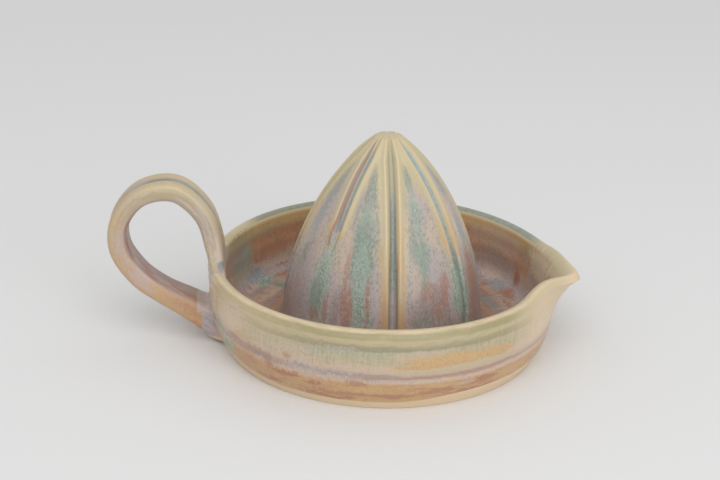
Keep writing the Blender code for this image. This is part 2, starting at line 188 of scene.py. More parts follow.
class Wire:
    """A node's output that works in Python arithmetic. Each step adds a Math node."""

    def __init__(self, graph, socket):
        self.graph = graph
        self.socket = socket

    def maths(self, operation, *others):
        return self.graph.maths(operation, self, *others)

    def __add__(self, other):
        return self.maths("ADD", other)

    def __mul__(self, other):
        return self.maths("MULTIPLY", other)

    def __sub__(self, other):
        return self.maths("SUBTRACT", other)

    def __rsub__(self, other):
        return self.graph.maths("SUBTRACT", other, self)

    def __truediv__(self, other):
        return self.maths("DIVIDE", other)

    def __pow__(self, other):
        return self.maths("POWER", other)

    def __neg__(self):
        return self * -1

    __radd__ = __add__

    def at_least(self, other):
        return self.maths("MAXIMUM", other)

    def at_most(self, other):
        return self.maths("MINIMUM", other)

    def step(self, low, high):
        """0 below the low value, 1 above the high one, and smooth between. The two may be swapped."""
        ends = {"From Min": low, "From Max": high}
        if low > high:
            ends = {"From Min": high, "From Max": low, "To Min": 1.0, "To Max": 0.0}
        smooth = {"interpolation_type": "SMOOTHSTEP"}
        return self.graph.node("ShaderNodeMapRange", smooth, {"Value": self, **ends})

    def peak(self, centre, spread):
        """A bell of height 1 round a value."""
        off = (self - centre) / spread
        return (-(off * off)).maths("EXPONENT")


def set_stops(marks, stops):
    """Puts a colour ramp's marks at (position, colour) stops."""
    while len(marks) < len(stops):
        marks.new(0.5)
    for mark, (position, colour) in zip(marks, stops):
        mark.position = position
        mark.color = colour


class Graph:
    """A node tree that is written as calls and expressions."""

    def __init__(self, tree):
        self.tree = tree

    def node(self, kind, settings=None, inputs=None, output=0):
        """A node: its settings first, a ramp's stops among them, then its sockets' values or wires."""
        made = self.tree.nodes.new(kind)
        for name, value in (settings or {}).items():
            if name == "stops":
                set_stops(made.color_ramp.elements, value)
            else:
                setattr(made, name, value)
        for key, value in (inputs or {}).items():
            if isinstance(value, Wire):
                self.tree.links.new(value.socket, made.inputs[key])
            else:
                made.inputs[key].default_value = value
        return Wire(self, made.outputs[output]) if made.outputs else None

    def maths(self, operation, *values):
        return self.node("ShaderNodeMath", {"operation": operation}, dict(enumerate(values)))

    def ramp(self, value, tones, bands):
        """A colour ramp through bands: each has its tone's name, and where it begins and ends."""
        span = bands[-1][-1]
        stops = [(end / span, tones[name]) for name, *ends in bands for end in ends]
        return self.node("ShaderNodeValToRGB", {"stops": stops}, {0: value / span})

    def mix(self, under, over, amount):
        """The second colour laid over the first one by an amount."""
        settings = {"data_type": "RGBA", "clamp_factor": True}
        inputs = {0: amount, MIX_UNDER: under, MIX_OVER: over}
        return self.node("ShaderNodeMix", settings, inputs, MIX_RESULT)

    def vector(self, *parts):
        return self.node("ShaderNodeCombineXYZ", None, dict(enumerate(parts)))

    def split(self, vector):
        made = self.node("ShaderNodeSeparateXYZ", None, {0: vector}).socket.node
        return [Wire(self, output) for output in made.outputs]

    def stretch(self, vector, scale, shift=(0.0, 0.0, 0.0)):
        settings = {"operation": "MULTIPLY_ADD"}
        return self.node("ShaderNodeVectorMath", settings, {0: vector, 1: scale, 2: shift})

    def noise(self, vector, scale, detail=3.0, rough=0.55):
        """Cloudy noise round one half."""
        inputs = {"Vector": vector, "Scale": scale, "Detail": detail, "Roughness": rough}
        return self.node("ShaderNodeTexNoise", None, inputs)

    def grain(self, vector, scale, *settings, shift=(0.0, 0.0, 0.0)):
        """Noise that is drawn out along each axis with a small factor."""
        return self.noise(self.stretch(vector, scale, shift), *settings)

    def attribute(self, name):
        """A number that the mesh carries."""
        return self.node("ShaderNodeAttribute", {"attribute_name": name}, None, "Fac")

    def position(self):
        """The place on the piece, in metres."""
        return self.node("ShaderNodeTexCoord", None, None, "Object")


def smooth_step(value):
    value = np.clip(value, 0.0, 1.0)
    return value * value * (3 - 2 * value)


def fade(value, start, end):
    """0 at the start, 1 at the end, and smooth between."""
    return smooth_step((value - start) / (end - start))


def bell(value, centre, spread):
    return np.exp(-(((value - centre) / spread) ** 2))


def new_piece(name, points, faces):
    """An object at the origin, with its place in its mesh."""
    mesh = bpy.data.meshes.new(name)
    mesh.from_pydata([tuple(point) for point in points], [], faces)
    made = bpy.data.objects.new(name, mesh)
    bpy.context.scene.collection.objects.link(made)
    return made


def face_outwards(mesh):
    shape = bmesh.new()
    shape.from_mesh(mesh)
    bmesh.ops.recalc_face_normals(shape, faces=shape.faces)
    shape.to_mesh(mesh)
    shape.free()
    mesh.shade_smooth()


def bake(piece):
    """The evaluated shape as the piece's own plain mesh, with no modifier left."""
    depsgraph = bpy.context.evaluated_depsgraph_get()
    evaluated = piece.evaluated_get(depsgraph)
    mesh = bpy.data.meshes.new_from_object(evaluated, preserve_all_data_layers=True, depsgraph=depsgraph)
    piece.modifiers.clear()
    piece.data = mesh
    mesh.name = piece.name
    face_outwards(mesh)


def hand_over(piece, finish, node):
    """The finished piece stands for its node and rides with it."""
    piece.data.materials.clear()
    piece.data.materials.append(finish)
    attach(piece, "root")
    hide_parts(node)


def number_layer(mesh, name, values):
    layer = mesh.attributes.new(name, "FLOAT", "POINT")
    layer.data.foreach_set("value", np.asarray(values, dtype=np.float32))


# Shapes

# Grooves left by the fingers: how far below the lip, half the spread, and the depth
THROWING_GROOVES = ((0.0016, 0.0010, 0.0005), (0.0057, 0.0011, 0.0005), (0.0205, 0.0020, 0.0006))
# Throwing rings: their height, and their spacing divided by 2 pi
WALL_RINGS = (0.00005, 0.0011)
INNER_RINGS = (0.00012, 0.0013)
FLOOR_RINGS = (0.00012, 0.0012)
RINGS_FADE = (0.006, 0.010)
GLAZE_THICKNESS = 0.00012
GLAZE_EDGE = 0.0007
LIP_EASE = 0.0002
FOOT_ROUND = 0.0002
BASE_STEPS = (0.0, 0.25, 0.5, 0.7, 0.85, 0.95, 0.99)
WALL_ROWS = 70
LIP_ROWS = 26
INNER_ROWS = 30
CORNER_ROWS = 14
FLOOR_ROWS = 34
# Share of the radial distance from the leaning wall that is square to it
WALL_LEAN = 0.95
PIN_SIDES = 32
MERGE_DISTANCE = 1e-6

DISH_INPUTS = ("height", "lip_round", "spout_reach", "spout_lift", "spout_depth", "shoulder_rise", "pinch")
# How strongly the columns crowd to the spout, and the powers of its rise outside and inside the wall
SPOUT_CROWDING = 0.6
SPOUT_UNDERCUT = 2.7
SPOUT_SLOPE = 2.2
# Half widths of its two sides, the power of its sharpness, and how blunt its tip is
SPOUT_SPREAD_FAR = math.radians(11.5)
SPOUT_SPREAD_NEAR = math.radians(5.8)
SPOUT_SHARPNESS = 1.15
SPOUT_NOSE = math.radians(2.4)
SHOULDER_ANGLE = math.radians(12)
SHOULDER_SPREAD = math.radians(9)
PINCH_ANGLE = math.radians(-20)
PINCH_SPREAD = math.radians(9)

REAMER_INPUTS = ("radius", "flute_width", "flute_depth", "edge_rise", "lobe_hollow", "lean")
# Slip between the reamer and the floor
SEAT_GAP = 0.0003
FOOT_FLARE_HEIGHT = 0.005
HOLLOW_ROWS = 12
TIP_ROWS = 10
FLUTE_AZIMUTHS = (-165, -122, -76, -27, 15, 60, 105, 150)
SHORT_FLUTE = 1
MIDDLE_FLUTE = 2
SHORT_FLUTE_END = 0.047
FLUTE_END = 0.011
FLUTE_RUN_OUT = 0.012
FLUTE_END_WIDTH = 0.25
FLUTE_FLANK = 0.8
LOBE_EDGE = 0.1
EDGE_PLACE = 0.0005
EDGE_SPREAD = 0.0009
# Added to the distance from a flute that has ended
OUT_OF_REACH = 0.02
LEAN_HEIGHTS = (0.03, 0.095)
COIL_LEG = 0.0032
COIL_SUNK = 0.0006
COIL_INNER = 0.0020
COIL_DIP = 0.0002
COIL_BACK_ROWS = 8
COIL_FACE_ROWS = 12
COIL_COLUMNS = 300
COIL_UNEVENNESS = 0.0003

# The strap's path: its first points from the middle and the crest of the lip, then the loop as shares of
# its stand-off and height, then its last point from the landing
HANDLE_ROOT = ((-0.0004, -0.0075), (0.0, -0.0018))
HANDLE_SWEEP = (
    (0.01, 0.59),
    (0.12, 0.83),
    (0.40, 1.0),
    (0.75, 0.965),
    (0.97, 0.78),
    (0.985, 0.56),
    (0.80, 0.355),
    (0.55, 0.222),
    (0.29, 0.122),
)
HANDLE_TOE = (-0.0048, -0.0027)
SPLINE_PARTS = 24
STRAP_SIDES = 96
# Trial points for each side, from which the sides are spaced evenly
TRIAL_POINTS = 15
# Powers that square the section's corners, across and outwards
STRAP_SQUARENESS = (0.5, 0.6)
ROOT_START = 0.006
ROOT_THINNING = 0.25
NARROWING_SPAN = (0.45, 0.70)
CROWN_SWELL = 0.0007
CROWN_PLACE = (0.30, 0.10)
GROOVE_LOSS = 0.7
# How far the joints are rounded: at the landing, under the root, and more above it and on its near side
LANDING_FILLET = 0.0045
ROOT_FILLET = (0.0015, 0.0020, 0.0040)
# The search along each ray for the joined surface
RAY_STEPS = 60
RAY_SPARE = 0.009
STRAP_CLEARANCE = 0.0001
LOWEST_STRAP = 0.0013
COLLAR_START = 0.86
COLLAR_EDGE = 0.006
COLLAR_FEATHER = 0.004
COLLAR_SUNK = 0.0003
COLLAR_DEPTH = 0.0015


def groove_depth(dish, height):
    return sum(depth * bell(dish.height - height, below, spread) for below, spread, depth in THROWING_GROOVES)


def wall_radius(dish, height):
    """Outside of the turned wall: a bevelled bare foot and a full belly."""
    start = dish.foot_radius + dish.bare_flare
    foot = dish.foot_radius + dish.bare_flare * height / dish.bare_height
    rise = dish.height - dish.lip_round - dish.bare_height
    climb = np.clip((height - dish.bare_height) / rise, 0.0, 1.0)
    belly = start + (dish.radius - start) * (1 - (1 - climb) ** dish.fullness)
    return np.where(height <= dish.bare_height, foot, belly)


def ring_height(rings, along):
    height, spacing = rings
    return height * np.sin(along / spacing)


def dish_section(dish):
    """Half section of the dish as (radius, height) from the base's centre over the lip to the floor's centre,
    with the distance from the lip's crest: above zero outside, below zero inside."""
    shoulder = dish.height - dish.lip_round
    base = [(dish.foot_radius * step, 0.0) for step in BASE_STEPS]
    base += [(dish.foot_radius - FOOT_ROUND, 0.0), (dish.foot_radius + FOOT_ROUND / 2, FOOT_ROUND)]
    heights = np.linspace(3 * FOOT_ROUND, shoulder, WALL_ROWS, endpoint=False)
    ripple = ring_height(WALL_RINGS, heights) - WALL_RINGS[0]
    ripple = ripple * fade(heights, *RINGS_FADE)
    glaze_edge = GLAZE_THICKNESS * (1 - fade(heights, dish.bare_height, dish.bare_height + GLAZE_EDGE))
    radii = wall_radius(dish, heights) - groove_depth(dish, heights) + ripple - glaze_edge
    outside = list(zip(radii, heights))
    lip = []
    for angle in np.linspace(0, math.pi, LIP_ROWS):
        height = shoulder + dish.lip_round * math.sin(angle)
        groove = groove_depth(dish, height) if angle < math.pi / 2 else 0.0
        lip.append((dish.radius - dish.lip_round + dish.lip_round * math.cos(angle) - groove, height))
    inner = dish.radius - dish.wall
    edge = inner - dish.taper - dish.corner
    inside = []
    for step in np.linspace(0, 1, INNER_ROWS)[1:]:
        height = shoulder + (dish.floor + dish.corner - shoulder) * step
        eased = LIP_EASE * (1 - smooth_step(4 * step)) - dish.taper * smooth_step(2 * step - 1)
        inside.append((inner + eased + ring_height(INNER_RINGS, height) * math.sin(math.pi * step), height))
    for turned in np.linspace(0, math.pi / 2, CORNER_ROWS)[1:]:
        height = dish.floor + dish.corner * (1 - math.sin(turned))
        inside.append((edge + dish.corner * math.cos(turned), height))
    for step in np.linspace(0, 1, FLOOR_ROWS)[1:]:
        radius = edge * (1 - step)
        inside.append((radius, dish.floor + ring_height(FLOOR_RINGS, radius) * min(1.0, 6 * step)))
    points = np.array(base + outside + lip + inside)
    points[-1] = (0.0, dish.floor)
    runs = np.concatenate([[0], np.cumsum(np.hypot(*np.diff(points, axis=0).T))])
    crest = len(base) + len(outside) + int(np.argmax([height for _, height in lip]))
    return points, runs[crest] - runs


def new_shape_tree(name, lengths):
    """An empty geometry tree with its named inputs, and the wires that come from them."""
    tree = bpy.data.node_groups.new(name, "GeometryNodeTree")
    sockets = {"Geometry": "Geometry", "columns": "Int", **{label: "Float" for label in lengths}}
    for label, kind in sockets.items():
        tree.interface.new_socket(label, in_out="INPUT", socket_type="NodeSocket" + kind)
    tree.interface.new_socket("Geometry", in_out="OUTPUT", socket_type="NodeSocketGeometry")
    graph = Graph(tree)
    source = graph.node("NodeGroupInput").socket.node
    return graph, {output.name: Wire(graph, output) for output in source.outputs if output.name}


def thrown_grid(graph, wires):
    """The section carried round the wheel axis as a grid: the grid, and each point's turn, radius, height
    and place along the section."""
    section = wires["Geometry"]
    rows = graph.node("GeometryNodeAttributeDomainSize", None, {0: section})
    inputs = {"Vertices X": wires["columns"] + 1, "Vertices Y": rows}
    grid = graph.node("GeometryNodeMeshGrid", None, inputs)
    index = graph.node("GeometryNodeInputIndex")
    column = (index / rows).maths("FLOOR")
    row = index - column * rows
    place = graph.node("GeometryNodeInputPosition")
    run = graph.node("GeometryNodeInputNamedAttribute", {"data_type": "FLOAT"}, {"Name": "run"})
    samples = []
    for kind, value in (("FLOAT_VECTOR", place), ("FLOAT", run)):
        inputs = {"Geometry": section, "Value": value, "Index": row}
        samples.append(graph.node("GeometryNodeSampleIndex", {"data_type": kind}, inputs))
    point, run_here = samples
    radius, _, height = graph.split(point)
    turned = column / wires["columns"] * math.tau
    return grid, turned, radius, height, run_here


def close_shape(graph, grid, position, layers):
    """Moves the grid's points to their places, keeps what the glaze reads, and closes seams and poles."""
    shape = grid
    for name, value in layers.items():
        inputs = {"Geometry": shape, "Name": name, "Value": value}
        shape = graph.node("GeometryNodeStoreNamedAttribute", {"data_type": "FLOAT"}, inputs)
    shape = graph.node("GeometryNodeSetPosition", None, {"Geometry": shape, "Position": position})
    inputs = {"Geometry": shape, "Distance": MERGE_DISTANCE}
    shape = graph.node("GeometryNodeMergeByDistance", None, inputs)
    shape = graph.node("GeometryNodeRealizeInstances", None, {0: shape})
    shape = graph.node("GeometryNodeSetMaterial", None, {0: shape})
    graph.node("NodeGroupOutput", None, {0: shape})


def polar(graph, turned, radius, height):
    return graph.vector(turned.maths("COSINE") * radius, turned.maths("SINE") * radius, height)


def dish_tree():
    """Turns the dish's section and pinches its spout."""
    graph, wires = new_shape_tree("throw_dish", DISH_INPUTS)
    grid, turned, radius, height, run = thrown_grid(graph, wires)
    azimuth = turned - turned.maths("SINE") * SPOUT_CROWDING
    angle = azimuth.maths("WRAP", math.pi, -math.pi)
    off = angle.maths("ABSOLUTE")
    above = height - (wires["height"] - wires["spout_depth"])
    span = wires["spout_depth"] - wires["lip_round"]
    climb = (above / span).at_least(0).at_most(1) ** SPOUT_UNDERCUT
    slope = (above / wires["spout_depth"]).at_least(0).at_most(1) ** SPOUT_SLOPE
    climb = climb + (slope - climb) * run.maths("LESS_THAN", 0)
    far_side = angle.maths("GREATER_THAN", 0)
    spread = far_side * (SPOUT_SPREAD_FAR - SPOUT_SPREAD_NEAR) + SPOUT_SPREAD_NEAR
    blunt = (off * off + SPOUT_NOSE**2).maths("SQRT") - SPOUT_NOSE
    beak = (-((blunt / spread) ** SPOUT_SHARPNESS)).maths("EXPONENT")
    rest = 1 - beak
    pinched = angle.peak(PINCH_ANGLE, PINCH_SPREAD)
    outwards = wires["spout_reach"] * beak - wires["pinch"] * pinched * rest
    shoulder = off.peak(SHOULDER_ANGLE, SHOULDER_SPREAD)
    upwards = wires["shoulder_rise"] * shoulder * rest + wires["spout_lift"] * beak
    position = polar(graph, azimuth, radius + climb * outwards, height + climb * upwards)
    close_shape(graph, grid, position, {"run": run})
    return graph.tree


def grow(piece, tree, values):
    """Runs a geometry tree on a piece and keeps the result."""
    modifier = piece.modifiers.new(tree.name, "NODES")
    modifier.node_group = tree
    for item in tree.interface.items_tree:
        if item.in_out == "INPUT" and item.name in values:
            modifier[item.identifier] = values[item.name]
    bake(piece)


def sizes_of(settings, names):
    return {name: getattr(settings, name) for name in ("columns", *names)}


def section_piece(name, points, runs):
    """A wire outline in the XZ plane for a geometry tree to turn."""
    piece = new_piece(name, [(radius, 0.0, height) for radius, height in points], [])
    number_layer(piece.data, "run", runs)
    return piece


def bore(piece, radius, offset, depth):
    """Pierces the floor with a round pin."""
    pin_shape = bmesh.new()
    place = Matrix.Translation((offset, 0, 0))
    size = {"segments": PIN_SIDES, "radius1": radius, "radius2": radius, "depth": depth}
    bmesh.ops.create_cone(pin_shape, cap_ends=True, matrix=place, **size)
    pin = new_piece("pin", [], [])
    pin_shape.to_mesh(pin.data)
    pin_shape.free()
    cut = piece.modifiers.new("bore", "BOOLEAN")
    cut.object = pin
    bake(piece)
    bpy.data.objects.remove(pin)


def reamer_radius(reamer, dish, height):
    """Outside of the reamer over its lobes."""
    climb = np.clip(height / (reamer.top + reamer.nose), 0.0, 1.0)
    flare = reamer.foot_flare * np.exp(-(height - dish.floor) / FOOT_FLARE_HEIGHT)
    return reamer.radius * (1 - climb**reamer.belly) ** reamer.taper + flare


def reamer_section(reamer, dish):
    """Half section from the roof of the hollow down to the seat and up the outside to the tip."""
    seat = dish.floor + SEAT_GAP
    ceiling = reamer.top - reamer.roof
    inside = []
    for turned in np.linspace(math.pi / 2, 0, HOLLOW_ROWS):
        height = seat + (ceiling - seat) * math.sin(turned)
        radius = reamer_radius(reamer, dish, height + reamer.wall / 2) - reamer.wall
        inside.append((max(0.0, radius) if turned < math.pi / 2 else 0.0, height))
    turns = np.linspace(0, math.pi, reamer.rows)
    shoulder = reamer.top - reamer.crown
    heights = seat + (shoulder - seat) * (1 - np.cos(turns)) / 2
    outside = [(reamer_radius(reamer, dish, height), height) for height in heights]
    brow = outside[-1][0]
    for turned in np.linspace(0, math.pi / 2, TIP_ROWS)[1:]:
        outside.append((brow * math.cos(turned), shoulder + reamer.crown * math.sin(turned)))
    points = np.array(inside + outside)
    runs = np.where(np.arange(len(points)) < len(inside), -1.0, points[:, 1])
    return points, runs


def reamer_tree():
    """Turns the reamer and cuts its flutes."""
    graph, wires = new_shape_tree("throw_reamer", REAMER_INPUTS)
    grid, turned, radius, height, run = thrown_grid(graph, wires)
    azimuth = turned - math.pi
    half_pitch = math.pi / len(FLUTE_AZIMUTHS)
    narrow = (radius * half_pitch / wires["flute_width"]).at_most(1)
    holes, arcs, angles = [], [], []
    for flute, degrees in enumerate(FLUTE_AZIMUTHS):
        end = SHORT_FLUTE_END if flute == SHORT_FLUTE else FLUTE_END
        active = height.step(end, end + FLUTE_RUN_OUT)
        gone = 1 - active
        off = (azimuth - math.radians(degrees)).maths("WRAP", math.pi, -math.pi).maths("ABSOLUTE")
        opening = active * (1 - FLUTE_END_WIDTH) + FLUTE_END_WIDTH
        half = wires["flute_width"] * narrow * opening / 2
        arc = off * radius
        holes.append((1 - arc / half).step(0, FLUTE_FLANK) * active)
        arcs.append(arc - half + gone * OUT_OF_REACH)
        angles.append(off + gone * half_pitch)
    cut = reduce(Wire.at_least, holes)
    beyond = reduce(Wire.at_most, arcs)
    nearest = reduce(Wire.at_most, angles)
    edge = beyond.peak(EDGE_PLACE, EDGE_SPREAD) * narrow
    hollow = (nearest / half_pitch).step(LOBE_EDGE, 1) * (radius / wires["radius"]).at_most(1)
    sunk = wires["flute_depth"] * cut * narrow
    change = wires["edge_rise"] * edge - sunk - wires["lobe_hollow"] * hollow
    reach = (radius + run.maths("GREATER_THAN", 0) * change).at_least(0)
    x, y, z = graph.split(polar(graph, azimuth, reach, height))
    place = graph.vector(x + wires["lean"] * height.step(*LEAN_HEIGHTS), y, z)
    close_shape(graph, grid, place, {"run": run, "flute": cut, "beyond": beyond})
    return graph.tree


def fillet_section(reamer, dish):
    """Closed section of the coil pressed into the corner between the reamer's foot and the floor."""
    seat = dish.floor + SEAT_GAP
    against = np.linspace(seat + COIL_LEG, seat - COIL_SUNK, COIL_BACK_ROWS)
    section = [(reamer_radius(reamer, dish, max(height, seat)) - COIL_INNER, height) for height in against]
    section.append((reamer_radius(reamer, dish, seat) + COIL_LEG, seat - COIL_SUNK))
    for turned in np.linspace(0, math.pi / 2, COIL_FACE_ROWS):
        height = seat - COIL_DIP + COIL_LEG * (1 - math.cos(turned))
        reach = reamer_radius(reamer, dish, max(height, seat)) - COIL_SUNK * math.sin(turned)
        section.append((reach + COIL_LEG * (1 - math.sin(turned)), height))
    section.append(section[0])
    section = np.array(section)
    points, runs = dish_section(dish)
    floor = slice(1 - FLOOR_ROWS, None)
    return section, np.interp(-section[:, 0], -points[floor, 0], runs[floor])


def fillet_tree():
    """Turns the coil's section, with the slight unevenness of a finger run round it."""
    graph, wires = new_shape_tree("turn_coil", ("unevenness",))
    grid, turned, radius, height, run = thrown_grid(graph, wires)
    wave = (turned * 5 + (turned * 3).maths("SINE")).maths("SINE") * wires["unevenness"]
    position = polar(graph, turned, radius + wave, height)
    close_shape(graph, grid, position, {"run": run})
    return graph.tree


def smooth_curve(points, stations):
    """Evenly spaced points along a smooth curve through the given ones."""
    spline = [Vector(point) for point in points]
    padded = [2 * spline[0] - spline[1], *spline, 2 * spline[-1] - spline[-2]]
    fine = []
    for before, start, end, after in zip(padded, padded[1:], padded[2:], padded[3:]):
        for part in np.linspace(0, 1, SPLINE_PARTS, endpoint=False):
            pull = (2 * before - 5 * start + 4 * end - after) * part**2
            bend = (3 * start - before - 3 * end + after) * part**3
            fine.append((2 * start + (end - before) * part + pull + bend) / 2)
    fine.append(spline[-1])
    fine = np.array([tuple(point) for point in fine])
    runs = np.concatenate([[0], np.cumsum(np.hypot(*np.diff(fine, axis=0).T))])
    targets = np.linspace(0, runs[-1], stations)
    return np.stack([np.interp(targets, runs, fine[:, axis]) for axis in (0, 1)], axis=1), targets


def handle_centreline(handle, dish):
    """The strap's middle as (radius, height): up out of the lip, round the loop and into the wall."""
    lip = dish.radius - dish.lip_round
    low = handle.landing
    tall = dish.height + handle.rise - low
    landing = float(wall_radius(dish, np.array(low)))
    path = [(lip + out, dish.height + up) for out, up in HANDLE_ROOT]
    path += [(lip + out * handle.stand_off, low + up * tall) for out, up in HANDLE_SWEEP]
    path += [(landing, low), (landing + HANDLE_TOE[0], low + HANDLE_TOE[1])]
    return smooth_curve(path, handle.stations)


def strap_outline(width, thickness, groove, groove_width):
    """Points round the strap's section as (across, outwards): flat faces, soft corners and the groove."""
    turns = np.linspace(-math.pi, math.pi, TRIAL_POINTS * STRAP_SIDES + 1)
    x, z = (
        np.sign(part) * np.abs(part) ** square * size / 2
        for part, square, size in zip((np.cos(turns), np.sin(turns)), STRAP_SQUARENESS, (width, thickness))
    )
    runs = np.concatenate([[0], np.cumsum(np.hypot(np.diff(x), np.diff(z)))])
    evenly = np.linspace(0, runs[-1], STRAP_SIDES, endpoint=False)
    x, z = np.interp(evenly, runs, x), np.interp(evenly, runs, z)
    return x, z - groove * bell(x, 0.0, groove_width) * (z > 0)


def wall_distance(dish, radius, height):
    """Distance outside the dish's lip and wall, below zero within the clay."""
    shoulder = dish.height - dish.lip_round
    centre = dish.radius - dish.lip_round
    groove = groove_depth(dish, height)
    lip = np.hypot(radius - centre, height - shoulder) - dish.lip_round + groove * (radius > centre)
    low = np.clip(height, 0.0, shoulder)
    outer = radius - wall_radius(dish, low) + groove
    inner = dish.radius - dish.wall - radius
    return np.where(height > shoulder, lip, np.maximum(outer * WALL_LEAN, inner))


def soft_join(first, second, reach):
    """The lower of two distances, rounded where they cross."""
    blend = np.clip(reach - np.abs(first - second), 0.0, None)
    return np.minimum(first, second) - blend**2 / (4 * reach)


def strap_size(handle, run, total):
    """Width, thickness and groove at a place along the strap, and how far its root and landing act there."""
    root = min(max(0.0, 1 - (run - ROOT_START) / handle.root_blend) ** 2, 1.0)
    landing = smooth_step(1 - (total - run) / handle.landing_blend)
    low = fade(run / total, *NARROWING_SPAN)
    width = handle.width - handle.narrowing * low
    width += handle.root_flare * root + handle.landing_flare * landing
    thickness = handle.thickness * (1 - ROOT_THINNING * smooth_step(root)) + handle.thickening * low
    thickness += handle.landing_swell * landing + CROWN_SWELL * bell(run / total, *CROWN_PLACE)
    return width, thickness, handle.groove_depth * (1 - GROOVE_LOSS * landing), root, landing


def crossing(tries, distances):
    """How far out each ray leaves the clay: where the distance first rises above zero."""
    inside = distances < 0
    high = np.where(inside.all(axis=0), len(tries) - 1, np.argmin(inside, axis=0))
    low = np.maximum(high - 1, 0)
    pick = np.arange(distances.shape[1])
    here, there = distances[low, pick], distances[high, pick]
    part = np.where(high > low, here / np.where(here == there, 1.0, here - there), 0.0)
    return tries[low, pick] + np.clip(part, 0.0, 1.0) * (tries[high, pick] - tries[low, pick])


def strap_rings(handle, dish, thicker=0.0, sunk=0.0, first=0):
    """Rings of points round the strap, filleted into the lip and the wall, each with its place along and
    across the strap."""
    path, runs = handle_centreline(handle, dish)
    along = np.gradient(path, axis=0)
    along /= np.hypot(*along.T)[:, None]
    total = runs[-1]
    rings, layers = [], []
    reach_out = np.array([math.cos(handle.azimuth), math.sin(handle.azimuth), 0.0])
    sideways = np.array([-math.sin(handle.azimuth), math.cos(handle.azimuth), 0.0])
    for station in range(first, len(path)):
        run = runs[station]
        width, thickness, groove, root, landing = strap_size(handle, run, total)
        x, z = strap_outline(width, thickness, groove, handle.groove_width)
        wrap = x**2 / (2 * dish.radius) * max(root, landing)
        radial = -z * along[station][1] - wrap
        ray = radial[:, None] * reach_out + x[:, None] * sideways
        ray[:, 2] += z * along[station][0]
        spread = np.linalg.norm(ray, axis=1)
        ray /= spread[:, None]
        centre = path[station][0] * reach_out + np.array([0, 0, path[station][1]])
        fillet = LANDING_FILLET
        if run < total / 2:
            under, above, beside = ROOT_FILLET
            near_side = smooth_step(x / width + 0.5)
            fillet = under + smooth_step(z / thickness + 0.5) * (above + beside * near_side)
        over = smooth_step((handle.collar_reach + COLLAR_FEATHER - (total - run)) / COLLAR_EDGE)
        tries = np.linspace(0, 1, RAY_STEPS)[:, None] * (spread + RAY_SPARE)
        tests = centre + tries[..., None] * ray
        strap = tries - spread - (thicker * over - sunk * (1 - over))
        wall = wall_distance(dish, np.hypot(tests[..., 0], tests[..., 1]), tests[..., 2]) + STRAP_CLEARANCE
        points = centre + crossing(tries, soft_join(strap, wall, fillet))[:, None] * ray
        points[:, 2] = np.maximum(points[:, 2], LOWEST_STRAP)
        rings.append(points)
        places = (np.full_like(x, run), x, z / thickness * 2, np.full_like(x, total - run))
        layers.append(np.stack(places, axis=1))
    return rings, layers


def tube_faces(rings, sides, closed=False):
    """Faces between neighbouring rings of points, and from the last ring to the first in a closed tube."""
    faces = []
    for ring in range(rings if closed else rings - 1):
        start = ring * sides
        end = (ring + 1) % rings * sides
        for side in range(sides):
            beside = (side + 1) % sides
            faces.append((start + side, start + beside, end + beside, end + side))
    return faces


def strap_layers(mesh, layers, spare=()):
    """Stores what the glaze reads, also on spare points that repeat other points' values."""
    values = np.concatenate(layers)
    values = np.concatenate([values, values[list(spare)]]) if spare else values
    for column, name in enumerate(("along", "across", "outer", "to_wall")):
        number_layer(mesh, name, values[:, column])


# Glaze

# Radius at which the patches' widths are measured, in millimetres
DISH_SPAN = 75.0
REAMER_SPAN = 43.0
# Where a patch begins to show and where it covers fully, in its half widths less the fray
PATCH_EDGE = (-1.25, -0.6)
RELIEF_DEPTH = 0.00012
BARE_ROUGHNESS = 0.85
LOW_FOOT_AZIMUTH = -98
SIDE_OF_SHORT_FLUTE = -34
# Glazes mixed from two others, with the second one's share
MIXED_GLAZES = (
    ("pale", "clay", "cream", 0.4),
    ("dusk", "olive", "slate", 0.45),
    ("haze", "lavender", "blue", 0.3),
    ("drop", "blue", "slate", 0.7),
)


def aim(x, y, degrees):
    """How far a place lies out in a direction."""
    return x * math.cos(math.radians(degrees)) + y * math.sin(math.radians(degrees))


def glaze_places(graph, span):
    """The surface in millimetres round the wheel: the unit direction times a span, and the raw position."""
    place = graph.position()
    x, y, z = graph.split(place)
    radius = (x * x + y * y).maths("SQRT").at_least(1e-5)
    return x / radius * span, y / radius * span, z * MM_IN_M, radius * MM_IN_M, place


def lay_spots(graph, colour, flow, spots, tones, span=DISH_SPAN, fray=None):
    """Lays patches of glaze over a colour, one after another, a few of them painted light and painted shade.
    Their edges break up into specks and runs.
    """
    for name, azimuth, down, wide, tall, strength in spots:
        angle = math.radians(azimuth)
        centre = (math.cos(angle) * span, math.sin(angle) * span, down)
        scale = (1 / wide, 1 / wide, 1 / tall)
        shift = tuple(-part * size for part, size in zip(centre, scale))
        moved = graph.stretch(flow.wander, scale, shift)
        off = graph.node("ShaderNodeVectorMath", {"operation": "LENGTH"}, {0: moved}, "Value")
        cover = ((fray or flow.grit) - off).step(*PATCH_EDGE)
        colour = graph.mix(colour, tones[name], cover * strength)
    return colour


def brush(graph, colour, tones, coats):
    """Lays glazes over a colour one after another, each through its mask. A glaze is a name or a colour."""
    for glaze, mask in coats:
        colour = graph.mix(colour, tones[glaze] if isinstance(glaze, str) else glaze, mask)
    return colour


def specks(curd, dark, light, amount):
    """The two coats that break a glaze up into fine dark and light specks."""
    return (dark, curd.step(0.50, 0.34) * amount), (light, curd.step(0.50, 0.66) * amount)


def glaze_colours(context):
    """The panel's glazes and the ones mixed from them, by name."""
    settings = context.scene.juicer_glaze
    names = [name for name in settings.__annotations__ if name != "gloss"]
    glazes = {name: (*getattr(settings, name), 1.0) for name in names}
    for name, first, second, share_of_second in MIXED_GLAZES:
        pairs = zip(glazes[first], glazes[second])
        glazes[name] = tuple(one + (other - one) * share_of_second for one, other in pairs)
    return glazes


